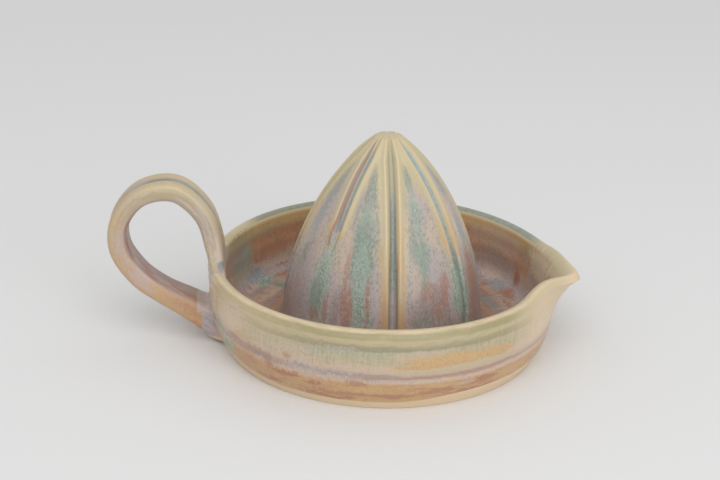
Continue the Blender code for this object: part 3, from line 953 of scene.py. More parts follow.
def new_material(name):
    made = bpy.data.materials.new(name)
    made.use_nodes = True
    made.node_tree.nodes.clear()
    return made, Graph(made.node_tree)


def finish_surface(graph, colour, roughness, relief, depth=RELIEF_DEPTH):
    """The shader: colour, roughness and relief from nodes, the rest constant."""
    relief = graph.node("ShaderNodeBump", None, {"Height": relief, "Distance": depth, "Strength": 1.0})
    inputs = {"Base Color": colour, "Roughness": roughness, "Normal": relief, "IOR": 1.5}
    surface = graph.node("ShaderNodeBsdfPrincipled", None, inputs)
    graph.node("ShaderNodeOutputMaterial", None, {"Surface": surface})


def fine_relief(graph, place):
    """Pitting and flow of the glaze, as a height."""
    return graph.noise(place, 900.0, 3.0, 0.6) * 0.5 + graph.noise(place, 260.0, 2.0) * 0.5


class Flow:
    """The patterns that running glaze makes on a turned surface, read in millimetres.

    A patch is placed in `wander`, whose edges are ragged. `runs` and `streak` go down the surface, wide and
    thin, `level` goes round it, `curd` and `fleck` are the specks where two glazes broke up in each other,
    `grit` is the sum that frays an edge, `hue` is blotchy, and `cloud` is slow and wide.
    """

    def __init__(self, graph, ux, uy, down, fingers, drift):
        place = graph.vector(ux, uy, down)
        self.cloud = graph.noise(place, 0.10) - 0.5
        self.runs = graph.grain(place, (1, 1, 0.10), 0.42, 3.0, 0.6)
        self.streak = graph.grain(place, (1, 1, 0.09), 1.2, 2.0, 0.6)
        self.curd = graph.grain(place, (1, 1, 0.6), 1.5, 3.0, 0.8)
        self.fleck = graph.grain(place, (1, 1, 0.8), 0.8, 3.0, 0.75, shift=(40.0, 0.0, 0.0))
        self.level = graph.grain(place, (0.22, 0.22, 1), 0.8, 4.0, 0.7)
        self.hue = graph.grain(place, (1, 1, 0.5), 0.20, 4.0, 0.65)
        wide, thin = self.runs - 0.5, self.streak - 0.5
        self.grit = (self.curd - 0.5) * 2.2 + thin * 1.6 + wide * 1.2
        self.down = down + wide * fingers + thin * (fingers * 0.6) + self.cloud * drift
        waver = self.cloud * drift * 0.6 + thin * 1.2
        self.wander = graph.vector(ux + waver, uy + waver, self.down)


# What breaks through each glaze in specks
UNDERTONES = (
    ("teal", "deep_teal", 0.9),
    ("deep_teal", "teal", 0.7),
    ("lavender", "mauve", 0.7),
    ("mauve", "slate", 0.5),
    ("rust", "brown", 0.6),
    ("blue", "slate", 0.7),
    ("slate", "teal", 0.6),
    ("brown", "rust", 0.6),
    ("orange", "rust", 0.35),
    ("ochre", "orange", 0.5),
    ("olive", "sage", 0.4),
    ("sage", "lavender", 0.4),
    ("cream", "peach", 0.3),
    ("peach", "lavender", 0.5),
)


def broken_tones(graph, glazes, flow):
    """The glazes as patches show them, with another one breaking through in specks."""
    tones = dict(glazes)
    for name, under, amount in UNDERTONES:
        tones[name] = graph.mix(glazes[name], glazes[under], flow.curd.step(0.56, 0.42) * amount)
    return tones


# Bands of glaze: where each begins and ends, in millimetres below the lip's crest
OUTSIDE_BANDS = (
    ("pale", 0.0, 1.2),
    ("olive", 2.4, 4.0),
    ("cream", 5.36, 6.64),
    ("olive", 7.68, 9.44),
    ("sage", 10.24, 14.4),
    ("peach", 17.2, 20.8),
    ("mauve", 22.48),
    ("peach", 24.0),
    ("orange", 25.8, 32.8),
    ("ochre", 34.8),
)
INSIDE_BANDS = (
    ("cream", 0.0, 3.24),
    ("ochre", 4.08, 6.9),
    ("brown", 9.6, 18.0),
    ("peach", 22.8),
    ("lavender", 26.4),
    ("mauve", 30.0),
    ("peach", 37.2),
    ("mauve", 42.0),
    ("brown", 48.0),
    ("mauve", 60.0),
)
# The same on the reamer, in millimetres above the table
REAMER_BANDS = (("mauve", 0.0, 14.0), ("haze", 32.0), ("sage", 54.0), ("cream", 68.0, 84.0), ("clay", 92.0))
# Patches: glaze, azimuth in degrees, millimetres below the lip's crest, half width, half height, strength
OUTSIDE_SPOTS = (
    ("teal", -92, 10.8, 24, 2.0, 0.25),
    # Partly glaze pooled in the second throwing groove, partly painted shade: a dark dusky band along it
    ("dusk", -86, 8.7, 52, 1.0, 0.85),
    ("lavender", -96, 9.2, 12, 0.6, 0.6),
    ("slate", -30, 9.6, 5, 0.8, 0.6),
    ("peach", -72, 12.0, 12, 2.0, 0.5),
    ("peach", -112, 14.0, 14, 2.4, 0.5),
    ("ochre", -134, 16.4, 8, 1.6, 0.7),
    ("peach", -139, 11.0, 14, 5.0, 0.7),
    ("rust", -126, 20.4, 17, 1.6, 0.6),
    ("mauve", -122, 21.6, 13, 0.9, 0.7),
    ("rust", -138, 20.0, 5, 1.6, 0.6),
    ("rust", -113, 17.6, 2, 1.5, 0.6),
    ("lavender", -102, 20.8, 17, 1.7, 0.75),
    ("blue", -97, 21.8, 9, 1.0, 0.7),
    ("blue", -109, 20.6, 6, 0.8, 0.8),
    ("mauve", -85, 21.3, 11, 1.1, 0.6),
    ("peach", -104, 22.6, 20, 0.8, 0.5),
    ("ochre", -57, 15.0, 25, 3.1, 0.95),
    ("ochre", -70, 16.8, 12, 1.8, 0.9),
    ("ochre", -43, 16.6, 9, 2.0, 0.85),
    ("cream", -57, 19.4, 27, 1.7, 0.8),
    ("rust", -56, 22.6, 38, 0.8, 0.35),
    ("peach", -52, 24.7, 34, 0.8, 0.7),
    ("lavender", -86, 24.0, 22, 0.6, 0.5),
    ("peach", -20, 16.0, 10, 3.0, 0.7),
    ("mauve", -20, 23.0, 12, 0.8, 0.5),
    ("rust", -114, 26.4, 8, 1.3, 0.9),
    ("rust", -105, 27.7, 4, 1.0, 0.95),
    ("rust", -121, 24.2, 2.6, 2.0, 0.7),
    ("rust", -122, 33.0, 6, 1.2, 0.8),
    ("rust", -100, 34.0, 13, 1.3, 0.8),
    ("rust", -97, 31.0, 14, 1.2, 0.6),
    ("rust", -90, 25.6, 5, 1.8, 0.7),
    ("ochre", -87, 28.6, 12, 2.4, 0.8),
    ("rust", -80, 31.2, 14, 1.2, 0.7),
    ("ochre", -63, 26.6, 7, 1.3, 0.9),
    ("rust", -64, 30.0, 10, 1.5, 0.6),
    ("rust", -48, 27.8, 9, 1.8, 0.9),
    ("peach", -54, 27.4, 5, 1.0, 0.6),
    ("rust", -49, 32.2, 14, 0.8, 0.9),
    ("ochre", -34, 29.0, 10, 2.4, 0.7),
    ("orange", -133, 27.0, 12, 4.0, 0.8),
    ("slate", -160, 20.0, 5, 5.0, 0.6),
    ("lavender", -160, 12.0, 8, 5.0, 0.5),
    ("teal", -148, 20.0, 3.5, 6.0, 0.7),
    ("teal", -144, 28.0, 5.0, 4.0, 1.0),
    ("clay", -156, 9.0, 9, 9.0, 0.5),
    ("clay", -142, 14.6, 10, 4.0, 0.5),
    ("peach", -145, 16.0, 6, 6.0, 0.5),
    ("ochre", 60, 16.0, 24, 3.0, 0.7),
    ("lavender", 100, 21.0, 20, 1.6, 0.8),
    ("rust", 80, 26.0, 20, 1.4, 0.6),
    ("peach", 140, 14.0, 18, 5.0, 0.6),
    ("rust", 150, 25.0, 16, 1.4, 0.5),
)
INSIDE_SPOTS = (
    ("olive", 172, 7.0, 22, 3.6, 0.9),
    ("olive", 150, 8.0, 16, 2.0, 0.6),
    ("slate", 166, 17.0, 13, 8.5, 0.85),
    ("teal", 160, 17.0, 4, 6.0, 0.5),
    ("sage", 166, 23.5, 7, 2.6, 0.7),
    ("mauve", 178, 14.0, 6, 4.0, 0.5),
    ("rust", 178, 26.0, 9, 4.0, 0.4),
    ("rust", 146, 19.0, 15, 3.6, 0.5),
    ("rust", 153, 20.5, 5, 2.0, 0.6),
    ("peach", 145, 25.2, 13, 1.8, 0.85),
    ("rust", 141, 27.5, 4, 0.8, 0.8),
    ("lavender", 146, 29.6, 9, 1.2, 0.7),
    ("blue", 157, 27.6, 9, 3.4, 1.0),
    ("teal", 154, 32.2, 9, 2.3, 1.0),
    ("rust", 144, 32.0, 6, 0.8, 0.9),
    ("peach", 163, 31.8, 8, 1.6, 0.6),
    ("mauve", 162, 35.2, 9, 1.6, 0.7),
    ("orange", 165, 40.2, 16, 2.6, 1.0),
    ("peach", 162, 40.4, 15, 2.0, 0.8),
    ("deep_teal", 152, 42.0, 3, 7.0, 1.0),
    ("mauve", 168, 44.6, 8, 1.8, 0.7),
    ("peach", 46, 10.5, 26, 6.0, 0.5),
    ("olive", 29, 7.6, 6, 1.8, 0.85),
    ("sage", 48.5, 9.5, 2.4, 4.0, 0.6),
    ("mauve", 47, 20.0, 18, 4.0, 0.7),
    ("lavender", 45, 28.4, 16, 3.6, 0.95),
    ("blue", 42, 31.2, 9, 2.0, 0.8),
    ("lavender", 28, 29.5, 6, 3.0, 0.8),
    ("clay", 49, 27.4, 8, 2.2, 0.45),
    ("rust", 34, 23.6, 2.8, 4.6, 1.0),
    ("rust", 33.5, 32.5, 6, 2.4, 1.0),
    ("rust", 27, 36.4, 9, 0.9, 0.9),
    ("blue", 33.5, 36.5, 2, 1.0, 0.7),
    ("rust", 43, 39.0, 9, 1.8, 0.8),
    ("slate", 31, 44.0, 16, 2.5, 0.7),
    ("lavender", 21, 17.0, 9, 6.0, 0.7),
    ("slate", 20, 12.0, 4, 5.0, 0.4),
    ("sage", 14, 10.0, 13, 6.0, 1.0),
    ("teal", 14, 9.5, 4, 3.0, 0.5),
    # The spout lip's own pale glaze, and painted light: cream, clay, sage and blue lighten the shaded face
    # and crease below the lip
    ("cream", 12, 4.0, 16, 5.0, 1.0),
    ("cream", 19, 9.0, 12, 6.0, 0.75),
    ("clay", 18, 9.0, 11, 5.0, 0.9),
    ("sage", 17, 10.0, 9, 4.0, 0.5),
    ("blue", 17, 9.0, 9, 4.0, 0.4),
    ("clay", 17, 8.6, 11, 5.0, 0.7),
    ("cream", -6, 7.0, 12, 7.0, 0.9),
    ("teal", 90, 28.0, 14, 3.0, 0.6),
    ("rust", 110, 36.0, 20, 5.0, 0.5),
    ("teal", -60, 28.0, 14, 4.0, 0.6),
    ("olive", -100, 12.0, 24, 5.0, 0.5),
    ("blue", -120, 29.0, 12, 3.0, 0.6),
    ("rust", -84, 30.0, 14, 4.0, 0.5),
)


def dish_material(context, name="dish_glaze"):
    """Bands, runs and patches of glaze on both sides of the wall, over a bare foot, with some painted light
    and painted shade.
    """
    glazes = glaze_colours(context)
    made, graph = new_material(name)
    ux, uy, _, radius, place = glaze_places(graph, DISH_SPAN)
    run = graph.attribute("run") * MM_IN_M
    down = run.maths("ABSOLUTE")
    flow = Flow(graph, ux, uy, down, 4.0, 5.0)
    tones = broken_tones(graph, glazes, flow)

    # Outside: frayed and dripping on the handle's side, in calm bands towards the spout
    drips = ux.step(18, -12)
    smooth = Flow(graph, ux, uy, down, drips * 3.0 + 0.8, 3.0)
    fray = flow.grit * (drips * 0.8 + 0.2) + (flow.level - 0.5) * 1.8
    settled = down + flow.cloud * 1.5 + (flow.grit * 0.8 + (flow.runs - 0.5) * 3) * down.step(8, 18) * drips
    outside = graph.ramp(settled, glazes, OUTSIDE_BANDS)
    middle, lower = down.peak(14, 6), down.step(21, 26)
    frayed = flow.level + flow.grit * 0.06
    coats = (
        ("peach", flow.hue.step(0.50, 0.64) * down.step(5, 2) * 0.25),
        ("olive", flow.level.step(0.50, 0.36) * down.step(19, 15) * 0.35),
        ("lavender", flow.level.step(0.50, 0.64) * down.step(5, 9) * 0.25),
        ("peach", flow.streak.step(0.50, 0.66) * middle * 0.6),
        ("slate", flow.streak.step(0.48, 0.30) * middle * 0.35),
        ("rust", frayed.step(0.53, 0.62) * lower * 0.5),
        ("ochre", frayed.step(0.50, 0.40) * lower * 0.6),
    )
    outside = brush(graph, outside, glazes, coats)
    outside = lay_spots(graph, outside, smooth, OUTSIDE_SPOTS, tones, fray=fray)
    beak = ux.step(56, 72) * uy.step(14, 0)
    coats = (
        # Painted light: the upper wall on the handle's side is washed paler with clay, standing in for more
        # light from that side
        ("clay", ux.step(-10, -62) * down.step(21, 12) * 0.4),
        ("clay", beak * down.step(28, 16) * 0.75),
        ("cream", beak * down.peak(3, 4) * 0.5),
        ("rust", flow.fleck.step(0.58, 0.68) * lower * 0.4),
        *specks(flow.curd, "mauve", "cream", down.step(5, 14) * 0.35),
    )
    outside = brush(graph, outside, glazes, coats)

    # Inside: pale at the lip, then brown, and mottled on the floor
    ragged = down + (flow.down - down) * down.step(8, 16)
    inside = graph.ramp(ragged, glazes, INSIDE_BANDS)
    deep = down.step(5, 9)
    coats = (
        ("olive", flow.hue.step(0.50, 0.36) * down.step(24, 12) * deep * 0.5),
        ("rust", flow.fleck.step(0.50, 0.62) * deep * 0.35),
        ("rust", flow.streak.step(0.52, 0.70) * deep * 0.3),
        ("lavender", flow.streak.step(0.50, 0.30) * down.step(16, 24) * 0.6),
        ("slate", flow.fleck.step(0.48, 0.36) * down.step(16, 28) * 0.5),
        ("rust", flow.runs.step(0.46, 0.34) * down.step(24, 34) * 0.6),
    )
    inside = brush(graph, inside, glazes, coats)
    inside = lay_spots(graph, inside, flow, INSIDE_SPOTS, tones)
    inside = brush(graph, inside, glazes, specks(flow.curd, "slate", "peach", deep * 0.32))

    # The far lip's crest is dusky, the foot bare
    coats = (
        ("slate", flow.streak.step(0.40, 0.56)),
        ("blue", flow.runs.step(0.46, 0.58) * run.step(0.6, -0.3) * 0.6),
        ("teal", flow.fleck.step(0.48, 0.60) * 0.5),
        ("dusk", ux.step(-40, -64) * 0.8),
    )
    crest_glaze = brush(graph, glazes["dusk"], tones, coats)
    crest = run.step(-3.0, -2.4) * run.step(2.4, 1.2) * uy.step(26, 40)
    grain = graph.noise(place, 1800.0, 4.0, 0.7)
    clay = graph.mix(glazes["clay"], glazes["ochre"], grain.step(0.55, 0.75) * 0.25)
    lean = aim(ux, uy, LOW_FOOT_AZIMUTH) / DISH_SPAN
    glaze_end = run + flow.cloud + (flow.streak - 0.5) * 0.6 - lean.step(0.66, 0.98) * 3.0
    bare = glaze_end.step(32.2, 32.8)
    coats = (
        (outside, run.step(-0.6, 0.6)),
        (crest_glaze, crest * 0.95),
        ("clay", radius.step(76.5, 82) * run.step(-5, -2) * 0.5),
        (clay, bare),
    )
    colour = brush(graph, inside, glazes, coats)
    gloss = context.scene.juicer_glaze.gloss
    roughness = gloss + (flow.curd - 0.5) * 0.25 + bare * (BARE_ROUGHNESS - gloss)
    finish_surface(graph, colour, roughness, fine_relief(graph, place) + grain * bare * 1.5)
    return made


# Patches: glaze, azimuth in degrees, height in millimetres, half width, half height, strength
REAMER_SPOTS = (
    ("lavender", -143, 62, 9, 22, 0.75),
    ("slate", -146, 75, 5, 8, 0.7),
    ("blue", -147, 62, 3.6, 8, 0.7),
    ("peach", -135, 50, 5, 11, 0.75),
    ("lavender", -141, 42, 6, 10, 0.7),
    ("slate", -148, 44, 2.2, 7, 0.95),
    ("rust", -143, 51, 2.6, 1.4, 0.6),
    ("orange", -146, 33, 1.8, 2.2, 0.95),
    ("mauve", -148, 23, 9, 9, 0.6),
    ("lavender", -146, 28, 10, 12, 0.55),
    ("rust", -157, 22, 3, 7, 0.5),
    ("teal", -125, 34, 5.5, 17, 0.95),
    ("deep_teal", -127, 31, 3, 7, 0.7),
    ("teal", -122, 49, 2, 5, 0.8),
    ("rust", -126, 24, 3.4, 2.6, 0.8),
    ("rust", -118.5, 28, 1.5, 6, 0.8),
    ("lavender", -113, 34, 3, 12, 0.7),
    ("slate", -99, 76, 5, 9, 0.85),
    ("mauve", -102, 72, 1.5, 6, 0.5),
    ("blue", -107, 69, 3, 7, 0.7),
    ("slate", -97, 58, 8, 15, 0.9),
    ("teal", -98, 60, 6, 10, 0.7),
    ("deep_teal", -97, 48, 6.5, 15, 0.95),
    ("teal", -97, 46, 3.6, 8, 0.7),
    ("teal", -97, 30, 4.4, 13, 1.0),
    ("peach", -111, 51, 3.8, 12, 0.85),
    ("rust", -107, 44, 1.5, 9, 0.6),
    ("rust", -104.5, 30, 3, 10, 1.0),
    ("mauve", -111, 28, 2.4, 9, 0.7),
    ("rust", -91.5, 30, 1.1, 13, 1.0),
    ("teal", -89.3, 27, 1.0, 9, 0.8),
    ("lavender", -86, 34, 2.4, 14, 0.7),
    ("slate", -55, 78, 4.6, 7, 0.85),
    ("lavender", -51, 66, 9.5, 11, 0.8),
    ("olive", -63.5, 73, 2.2, 7, 0.7),
    ("teal", -54, 65, 5.4, 9, 0.8),
    ("slate", -60, 56, 3, 9, 0.75),
    ("teal", -52, 50, 5.4, 9, 0.9),
    ("deep_teal", -55, 48, 4.2, 10, 0.6),
    ("peach", -43, 56, 4, 10, 0.7),
    ("lavender", -45, 45, 5, 9, 0.8),
    ("peach", -61, 40, 2.4, 9, 0.5),
    ("mauve", -51, 28, 11.5, 10, 0.75),
    ("rust", -41, 37, 3, 6, 0.85),
    ("rust", -53, 37, 4, 4, 0.6),
    ("rust", -47, 28, 3, 4, 0.6),
    ("slate", -57, 25, 4.4, 4, 0.7),
    ("teal", -32, 36, 2.2, 15, 1.0),
    ("teal", -23, 32, 2.4, 15, 1.0),
    ("lavender", -19, 40, 1.8, 13, 0.6),
    ("cream", -18, 72, 3.4, 17, 0.9),
    ("clay", -14, 62, 3.4, 12, 0.75),
    ("lavender", -10, 74, 5, 12, 0.6),
    ("blue", -4, 74, 6, 8, 0.8),
    ("peach", -5, 65, 5, 4, 0.6),
    ("blue", -5, 55, 4.6, 8, 0.95),
    ("rust", -9, 31, 7.8, 16, 1.0),
    ("mauve", 3, 22, 6, 8, 0.7),
    ("lavender", 60, 46, 30, 24, 0.45),
    ("teal", 38, 44, 5, 20, 0.9),
    ("rust", 48, 26, 4, 10, 0.7),
    ("teal", 82, 42, 6, 18, 0.9),
    ("rust", 72, 26, 4, 10, 0.6),
    ("teal", 128, 42, 6, 20, 0.9),
    ("mauve", 112, 24, 14, 12, 0.7),
    ("rust", 120, 26, 3, 12, 0.7),
    ("teal", 172, 40, 5, 18, 0.8),
    ("rust", 164, 24, 3, 10, 0.6),
)


def reamer_material(context):
    """Mottled lobes, thin golden banks beside the flutes, glaze pooled in the flutes, and painted shade on
    the short flute's shadow side.
    """
    glazes = glaze_colours(context)
    made, graph = new_material("reamer_glaze")
    ux, uy, z, _, place = glaze_places(graph, REAMER_SPAN)
    flute = graph.attribute("flute")
    beyond = graph.attribute("beyond") * MM_IN_M
    flow = Flow(graph, ux, uy, z, 9.0, 7.0)
    tones = broken_tones(graph, glazes, flow)
    tones["rust"] = graph.mix(tones["rust"], glazes["mauve"], 0.35)
    tones["lavender"] = graph.mix(tones["lavender"], glazes["haze"], 0.7)

    worn = (z + flow.cloud * 14).step(86, 62)
    coats = (
        ("olive", flow.runs.step(0.50, 0.66) * worn * z.step(36, 56) * 0.45),
        ("lavender", flow.streak.step(0.56, 0.38) * worn * 0.6),
        ("slate", flow.fleck.step(0.50, 0.38) * worn * 0.5),
        ("rust", flow.streak.step(0.52, 0.68) * z.step(50, 24) * 0.25),
    )
    lobes = brush(graph, graph.ramp(flow.down, glazes, REAMER_BANDS), glazes, coats)
    lobes = lay_spots(graph, lobes, flow, REAMER_SPOTS, tones, REAMER_SPAN)

    # The banks beside the flutes
    towards = aim(ux, uy, FLUTE_AZIMUTHS[MIDDLE_FLUTE])
    coats = (
        ("ochre", flow.runs.step(0.36, 0.54) * z.step(72, 52)),
        ("orange", z.step(40, 24) * 0.7),
    )
    honey = brush(graph, glazes["cream"], glazes, coats)
    bank = beyond.step(4.4, 0.8) * towards.step(40.4, 41.6).at_least(z.step(42, 56))
    banks = graph.mix(glazes["slate"], glazes["cream"], (z + flow.cloud * 6).step(44, 58))

    # The pools in them, lavender in the middle flute and teal in the others
    middle = towards.step(36, 42)
    others = 1 - middle
    coats = (
        ("blue", flow.down.step(44, 66) * (1 - middle * 0.7)),
        ("deep_teal", flow.down.step(48, 28) * others * 0.4),
        ("teal", flow.fleck.step(0.44, 0.58) * 0.6),
        *specks(flow.curd, "deep_teal", "blue", 0.5),
        ("deep_teal", middle * z.peak(58, 18) * 0.5),
        ("lavender", middle * z.step(44, 30) * 0.6),
        ("teal", others * z.step(46, 32) * 0.8),
        ("mauve", middle * flow.streak.step(0.40, 0.60) * 0.35),
        ("sage", middle * z.step(66, 82) * 0.7),
    )
    pool = brush(graph, glazes["slate"], glazes, coats)
    left = ux.step(6, -6)
    depth = beyond + others * z.step(46, 60) * left * 0.6

    # Painted shade: the short flute's shadow side is painted dark in rust and slate. Past its end, a painted
    # dark line and a blue streak of pooled glaze carry it on
    lateral = aim(ux, uy, SIDE_OF_SHORT_FLUTE)
    painted_shade = beyond.step(0.0, -0.5) * lateral.step(0.9, 0.4) * lateral.step(-4.2, -1.4)
    tail = z.step(51, 54) * z.step(64, 60) * left
    rings = graph.grain(graph.vector(ux, uy, z), (0.12, 0.12, 1), 1.4, 2.0, 0.6)
    coats = (
        ("slate", flow.streak.step(0.46, 0.30) * z.step(80, 50) * 0.25),
        ("mauve", rings.step(0.54, 0.66) * z.step(50, 64) * worn * 0.5),
        *specks(flow.fleck, "slate", "lavender", worn * 0.45),
        *specks(flow.curd, "mauve", "sage", worn * 0.25),
        (honey, (bank * 0.9 + flow.grit * 0.4 * bank).at_most(0.92)),
        ("clay", beyond.peak(0.35, 0.45) * z.step(30, 56) * 0.3),
        (banks, flute.step(0.10, 0.34) * 0.75),
        (pool, depth.step(-0.9, -1.4)),
        # Painted shade on the short flute's shadow side, then a painted dark line and the blue streak past
        # its end
        ("rust", painted_shade * 0.8),
        ("slate", painted_shade * 0.5),
        ("rust", lateral.peak(-1.2, 0.9) * tail * 0.8),
        (tones["blue"], (lateral.peak(0.3, 0.8) * 1.5).at_most(1) * tail * 0.8),
    )
    colour = brush(graph, lobes, glazes, coats)
    roughness = context.scene.juicer_glaze.gloss + (flow.curd - 0.5) * 0.25
    finish_surface(graph, colour, roughness, fine_relief(graph, place))
    return made


def handle_material(context):
    """Thin cream and tan glaze along the strap, pooled in its groove and at its landing."""
    glazes = glaze_colours(context)
    made, graph = new_material("handle_glaze")
    place = graph.position()
    x, y, z = (part * MM_IN_M for part in graph.split(place))
    off_axis = (x * x + y * y).maths("SQRT")
    along, across, to_wall = (graph.attribute(name) * MM_IN_M for name in ("along", "across", "to_wall"))
    outer = graph.attribute("outer")
    strap = graph.vector(along, across, outer * 4)
    lines = graph.grain(strap, (0.08, 1, 1), 0.9, 3.0, 0.65)
    cloud = graph.grain(strap, (0.5, 1, 1), 0.10)
    curd = graph.grain(strap, (0.5, 1, 1), 1.5, 3.0, 0.75)
    patch = graph.grain(strap, (0.3, 1, 1), 0.35, 3.0, 0.6)

    # The loop's inner face, the pool in the groove, and the wet glaze on the wall below the landing
    coats = (
        ("lavender", lines.step(0.44, 0.66) * 0.4),
        ("rust", patch.step(0.40, 0.60) * 0.8),
        ("slate", along.step(80, 110) * lines.step(0.6, 0.4) * 0.5),
    )
    inner = brush(graph, glazes["mauve"], glazes, coats)
    coats = (
        ("blue", patch.step(0.40, 0.60) * 0.8),
        ("slate", along.step(44, 16) * 0.8),
    )
    pool = brush(graph, glazes["slate"], glazes, coats)
    ragged = off_axis + (lines - 0.5) * 2
    box = ragged.step(80.6, 79.6) * z.step(14.0, 15.2)
    landing = box.at_least(ragged.step(78.6, 77.8)) * z.step(40, 34)
    coats = (
        ("blue", lines.step(0.46, 0.6)),
        ("clay", box * 0.3),
        ("mauve", (curd.step(0.5, 0.62) * 0.4).at_least(box * 0.2)),
    )
    wet = brush(graph, glazes["lavender"], glazes, coats)

    # The strap itself: greyed sides, a wet edge near the lip, a drop of blue, and a fired, rusty low end
    crown = outer.step(0.2, 0.7)
    greyed = (cloud.step(0.44, 0.62) + along.peak(28, 12)).at_most(1)
    greyed = greyed * outer.step(0.9, 0.3) * to_wall.step(20, 50)
    groove = (across.peak(0.6, 1.8) * 1.5).at_most(1) * crown
    wet_side = across.step(3, 7) * crown * along.step(34, 14) * lines.step(0.46, 0.60)
    drop = off_axis.peak(70.4, 1.3) * z.peak(38.5, 1.3)
    burnt = to_wall.step(36, 20) * outer.step(-0.9, -0.2) * outer.step(0.7, 0.0)
    low = z.step(30, 4) * to_wall.step(34, 12)
    fired = z.step(22, 8) * off_axis.step(88, 80)
    coats = (
        ("peach", patch.step(0.40, 0.60) * 0.7),
        ("ochre", lines.step(0.44, 0.66) * 0.45),
        ("orange", (along + cloud * 40).step(66, 116) * 0.75),
        ("lavender", lines.step(0.52, 0.32) * along.step(120, 60) * 0.2),
        ("lavender", greyed * 0.7),
        *specks(curd, "mauve", "cream", 0.4),
        ("olive", (1 - crown) * along.step(90, 60) * lines.step(0.36, 0.6) * 0.5),
        ("cream", outer.peak(0.62, 0.22) * along.step(110, 50) * 0.6),
        (inner, outer.step(-0.5, -0.8) * (along + cloud * 20).step(64, 90) * 0.9),
        (pool, groove * 0.95),
        ("lavender", wet_side * 0.6),
        ("clay", along.step(11, 4) * 0.6),
        ("drop", drop.step(0.1, 0.4)),
        ("rust", burnt * curd.step(0.40, 0.58) * 0.6),
        ("ochre", low * lines.step(0.40, 0.56) * 0.6),
        ("orange", fired * 0.9),
        ("rust", fired * patch.step(0.44, 0.60) * 0.5),
        (wet, landing * 0.9),
        ("clay", z.step(4.4, 3.0)),
    )
    colour = brush(graph, glazes["cream"], glazes, coats)
    roughness = context.scene.juicer_glaze.gloss + (curd - 0.5) * 0.2
    finish_surface(graph, colour, roughness, fine_relief(graph, place))
    return made


def floor_material(stage):
    """Matt paper sweep."""
    made, graph = new_material("pale_floor")
    place = graph.position()
    fibre = graph.noise(place, 500.0, 2.0)
    colour = graph.mix((*stage.floor_colour, 1.0), (1, 1, 1, 1), fibre * 0.04)
    finish_surface(graph, colour, fibre * 0.05 + 0.75, fibre, RELIEF_DEPTH / 4)
    return made


class JUICER_OT_dish(bpy.types.Operator):
    """Throws the dish, pinches its spout and glazes it"""

    bl_idname = "juicer.dish"
    bl_label = "Dish"

    def execute(self, context):
        dish = context.scene.juicer_dish
        piece = section_piece("dish_thrown", *dish_section(dish))
        grow(piece, dish_tree(), sizes_of(dish, DISH_INPUTS))
        bore(piece, dish.vent, dish.vent_offset, 4 * dish.floor)
        hand_over(piece, dish_material(context), "dish")
        return {"FINISHED"}


class JUICER_OT_reamer(bpy.types.Operator):
    """Makes the fluted reamer and glazes it"""

    bl_idname = "juicer.reamer"
    bl_label = "Reamer"

    def execute(self, context):
        dish, reamer = context.scene.juicer_dish, context.scene.juicer_reamer
        piece = section_piece("reamer_fluted", *reamer_section(reamer, dish))
        grow(piece, reamer_tree(), sizes_of(reamer, REAMER_INPUTS))
        hand_over(piece, reamer_material(context), "reamer")
        return {"FINISHED"}


class JUICER_OT_reamer_coil(bpy.types.Operator):
    """Smooths the coil of clay round the reamer's foot"""

    bl_idname = "juicer.reamer_coil"
    bl_label = "Reamer coil"

    def execute(self, context):
        dish, reamer = context.scene.juicer_dish, context.scene.juicer_reamer
        piece = section_piece("reamer_coil_smoothed", *fillet_section(reamer, dish))
        grow(piece, fillet_tree(), {"columns": COIL_COLUMNS, "unevenness": COIL_UNEVENNESS})
        hand_over(piece, dish_material(context, "pooled_glaze"), "reamer_joint_coil")
        return {"FINISHED"}


class JUICER_OT_handle(bpy.types.Operator):
    """Pulls the strap handle, with the clay worked over its lower end"""

    bl_idname = "juicer.handle"
    bl_label = "Handle"

    def execute(self, context):
        dish, handle = context.scene.juicer_dish, context.scene.juicer_handle
        finish = handle_material(context)
        rings, layers = strap_rings(handle, dish)
        sides = len(rings[0])
        points = np.concatenate([*rings, [rings[0].mean(axis=0), rings[-1].mean(axis=0)]])
        faces = tube_faces(len(rings), sides)
        last = (len(rings) - 1) * sides
        for side in range(sides):
            beside = (side + 1) % sides
            faces.append((len(points) - 2, beside, side))
            faces.append((len(points) - 1, last + side, last + beside))
        piece = new_piece("handle_pulled", points, faces)
        strap_layers(piece.data, layers, (0, last))
        face_outwards(piece.data)
        hand_over(piece, finish, "handle")

        start = int(handle.stations * COLLAR_START)
        outer, layers = strap_rings(handle, dish, handle.collar, COLLAR_SUNK, start)
        inner, inner_layers = strap_rings(handle, dish, -COLLAR_DEPTH, COLLAR_DEPTH, start)
        loop = outer + inner[::-1]
        faces = tube_faces(len(loop), sides, closed=True)
        piece = new_piece("handle_collar_smoothed", np.concatenate(loop), faces)
        strap_layers(piece.data, layers + inner_layers[::-1])
        face_outwards(piece.data)
        hand_over(piece, finish, "handle_joint_coil")
        return {"FINISHED"}


FLOOR_SIDES = 96
# Each lamp's name, size across and place
LAMPS = (("key", 1.5, (0.15, -1.0, 1.25)), ("front", 0.9, (1.0, -1.2, 0.5)))
# The camera's turn to the side, its dip and its roll, in degrees
CAMERA_ANGLES = (8.0, 22.7, 1.3)
CAMERA_PLACE = (0.0837, -0.6680, 0.3266)
CAMERA_LENS = 85
CAMERA_SENSOR = 36


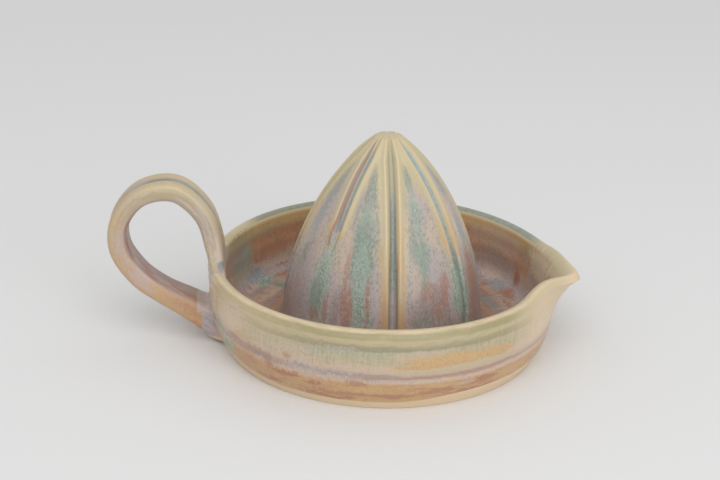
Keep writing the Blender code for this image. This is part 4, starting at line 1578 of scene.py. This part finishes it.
class JUICER_OT_stage(bpy.types.Operator):
    """Sets up the floor, the soft lights and the camera"""

    bl_idname = "juicer.stage"
    bl_label = "Stage"

    def execute(self, context):
        stage = context.scene.juicer_stage
        disc = bmesh.new()
        bmesh.ops.create_circle(disc, cap_ends=True, segments=FLOOR_SIDES, radius=stage.floor_radius)
        ground = new_piece("floor", [], [])
        disc.to_mesh(ground.data)
        disc.free()
        ground.data.materials.append(floor_material(stage))
        for name, size, place in LAMPS:
            lamp = bpy.data.lights.new(name, "AREA")
            lamp.energy = getattr(stage, name + "_power")
            lamp.size = size
            holder = bpy.data.objects.new(name, lamp)
            holder.location = place
            holder.rotation_euler = (-Vector(place)).to_track_quat("-Z", "Y").to_euler()
            context.scene.collection.objects.link(holder)
        world = bpy.data.worlds.new("soft_room")
        world.use_nodes = True
        sky = world.node_tree.nodes["Background"]
        sky.inputs["Color"].default_value = (1, 1, 1, 1)
        sky.inputs["Strength"].default_value = stage.world_light
        context.scene.world = world
        context.scene.view_settings.view_transform = "Standard"

        side, dip, roll = (math.radians(angle) for angle in CAMERA_ANGLES)
        forward = Vector((-math.sin(side) * math.cos(dip), math.cos(side) * math.cos(dip), -math.sin(dip)))
        right = Vector((math.cos(side), math.sin(side), 0))
        upward = right.cross(forward)
        across = math.cos(roll) * right + math.sin(roll) * upward
        over = math.cos(roll) * upward - math.sin(roll) * right
        lens = bpy.data.cameras.new("camera")
        lens.lens = CAMERA_LENS
        lens.sensor_width = CAMERA_SENSOR
        lens.clip_start = 0.01
        camera = bpy.data.objects.new("camera", lens)
        turned = Matrix((across, over, -forward)).transposed().to_4x4()
        camera.matrix_world = Matrix.Translation(CAMERA_PLACE) @ turned
        context.scene.collection.objects.link(camera)
        context.scene.camera = camera
        return {"FINISHED"}


class JUICER_PT_panel(bpy.types.Panel):
    """Lists the makers, and the sizes and colours that they read"""

    bl_idname = "JUICER_PT_panel"
    bl_label = "Citrus juicer"
    bl_space_type = "VIEW_3D"
    bl_region_type = "UI"
    bl_category = "Juicer"

    def draw(self, context):
        for maker in MAKERS:
            self.layout.operator(maker.bl_idname)
        for name in SETTINGS:
            box = self.layout.box()
            settings = getattr(context.scene, name)
            for field in settings.__annotations__:
                box.prop(settings, field)


SETTINGS = {
    "juicer_dish": DishSettings,
    "juicer_reamer": ReamerSettings,
    "juicer_handle": HandleSettings,
    "juicer_glaze": GlazeSettings,
    "juicer_stage": StageSettings,
}
MAKERS = (JUICER_OT_dish, JUICER_OT_reamer, JUICER_OT_reamer_coil, JUICER_OT_handle, JUICER_OT_stage)


def register():
    for group in (*SETTINGS.values(), *MAKERS, JUICER_PT_panel):
        bpy.utils.register_class(group)
    for name, group in SETTINGS.items():
        setattr(bpy.types.Scene, name, PointerProperty(type=group))


def unregister():
    for name in SETTINGS:
        delattr(bpy.types.Scene, name)
    for group in reversed((*SETTINGS.values(), *MAKERS, JUICER_PT_panel)):
        bpy.utils.unregister_class(group)


def main():
    register()
    bpy.ops.juicer.dish()
    bpy.ops.juicer.reamer()
    bpy.ops.juicer.reamer_coil()
    bpy.ops.juicer.handle()
    bpy.ops.juicer.stage()


if __name__ == "__main__":
    main()
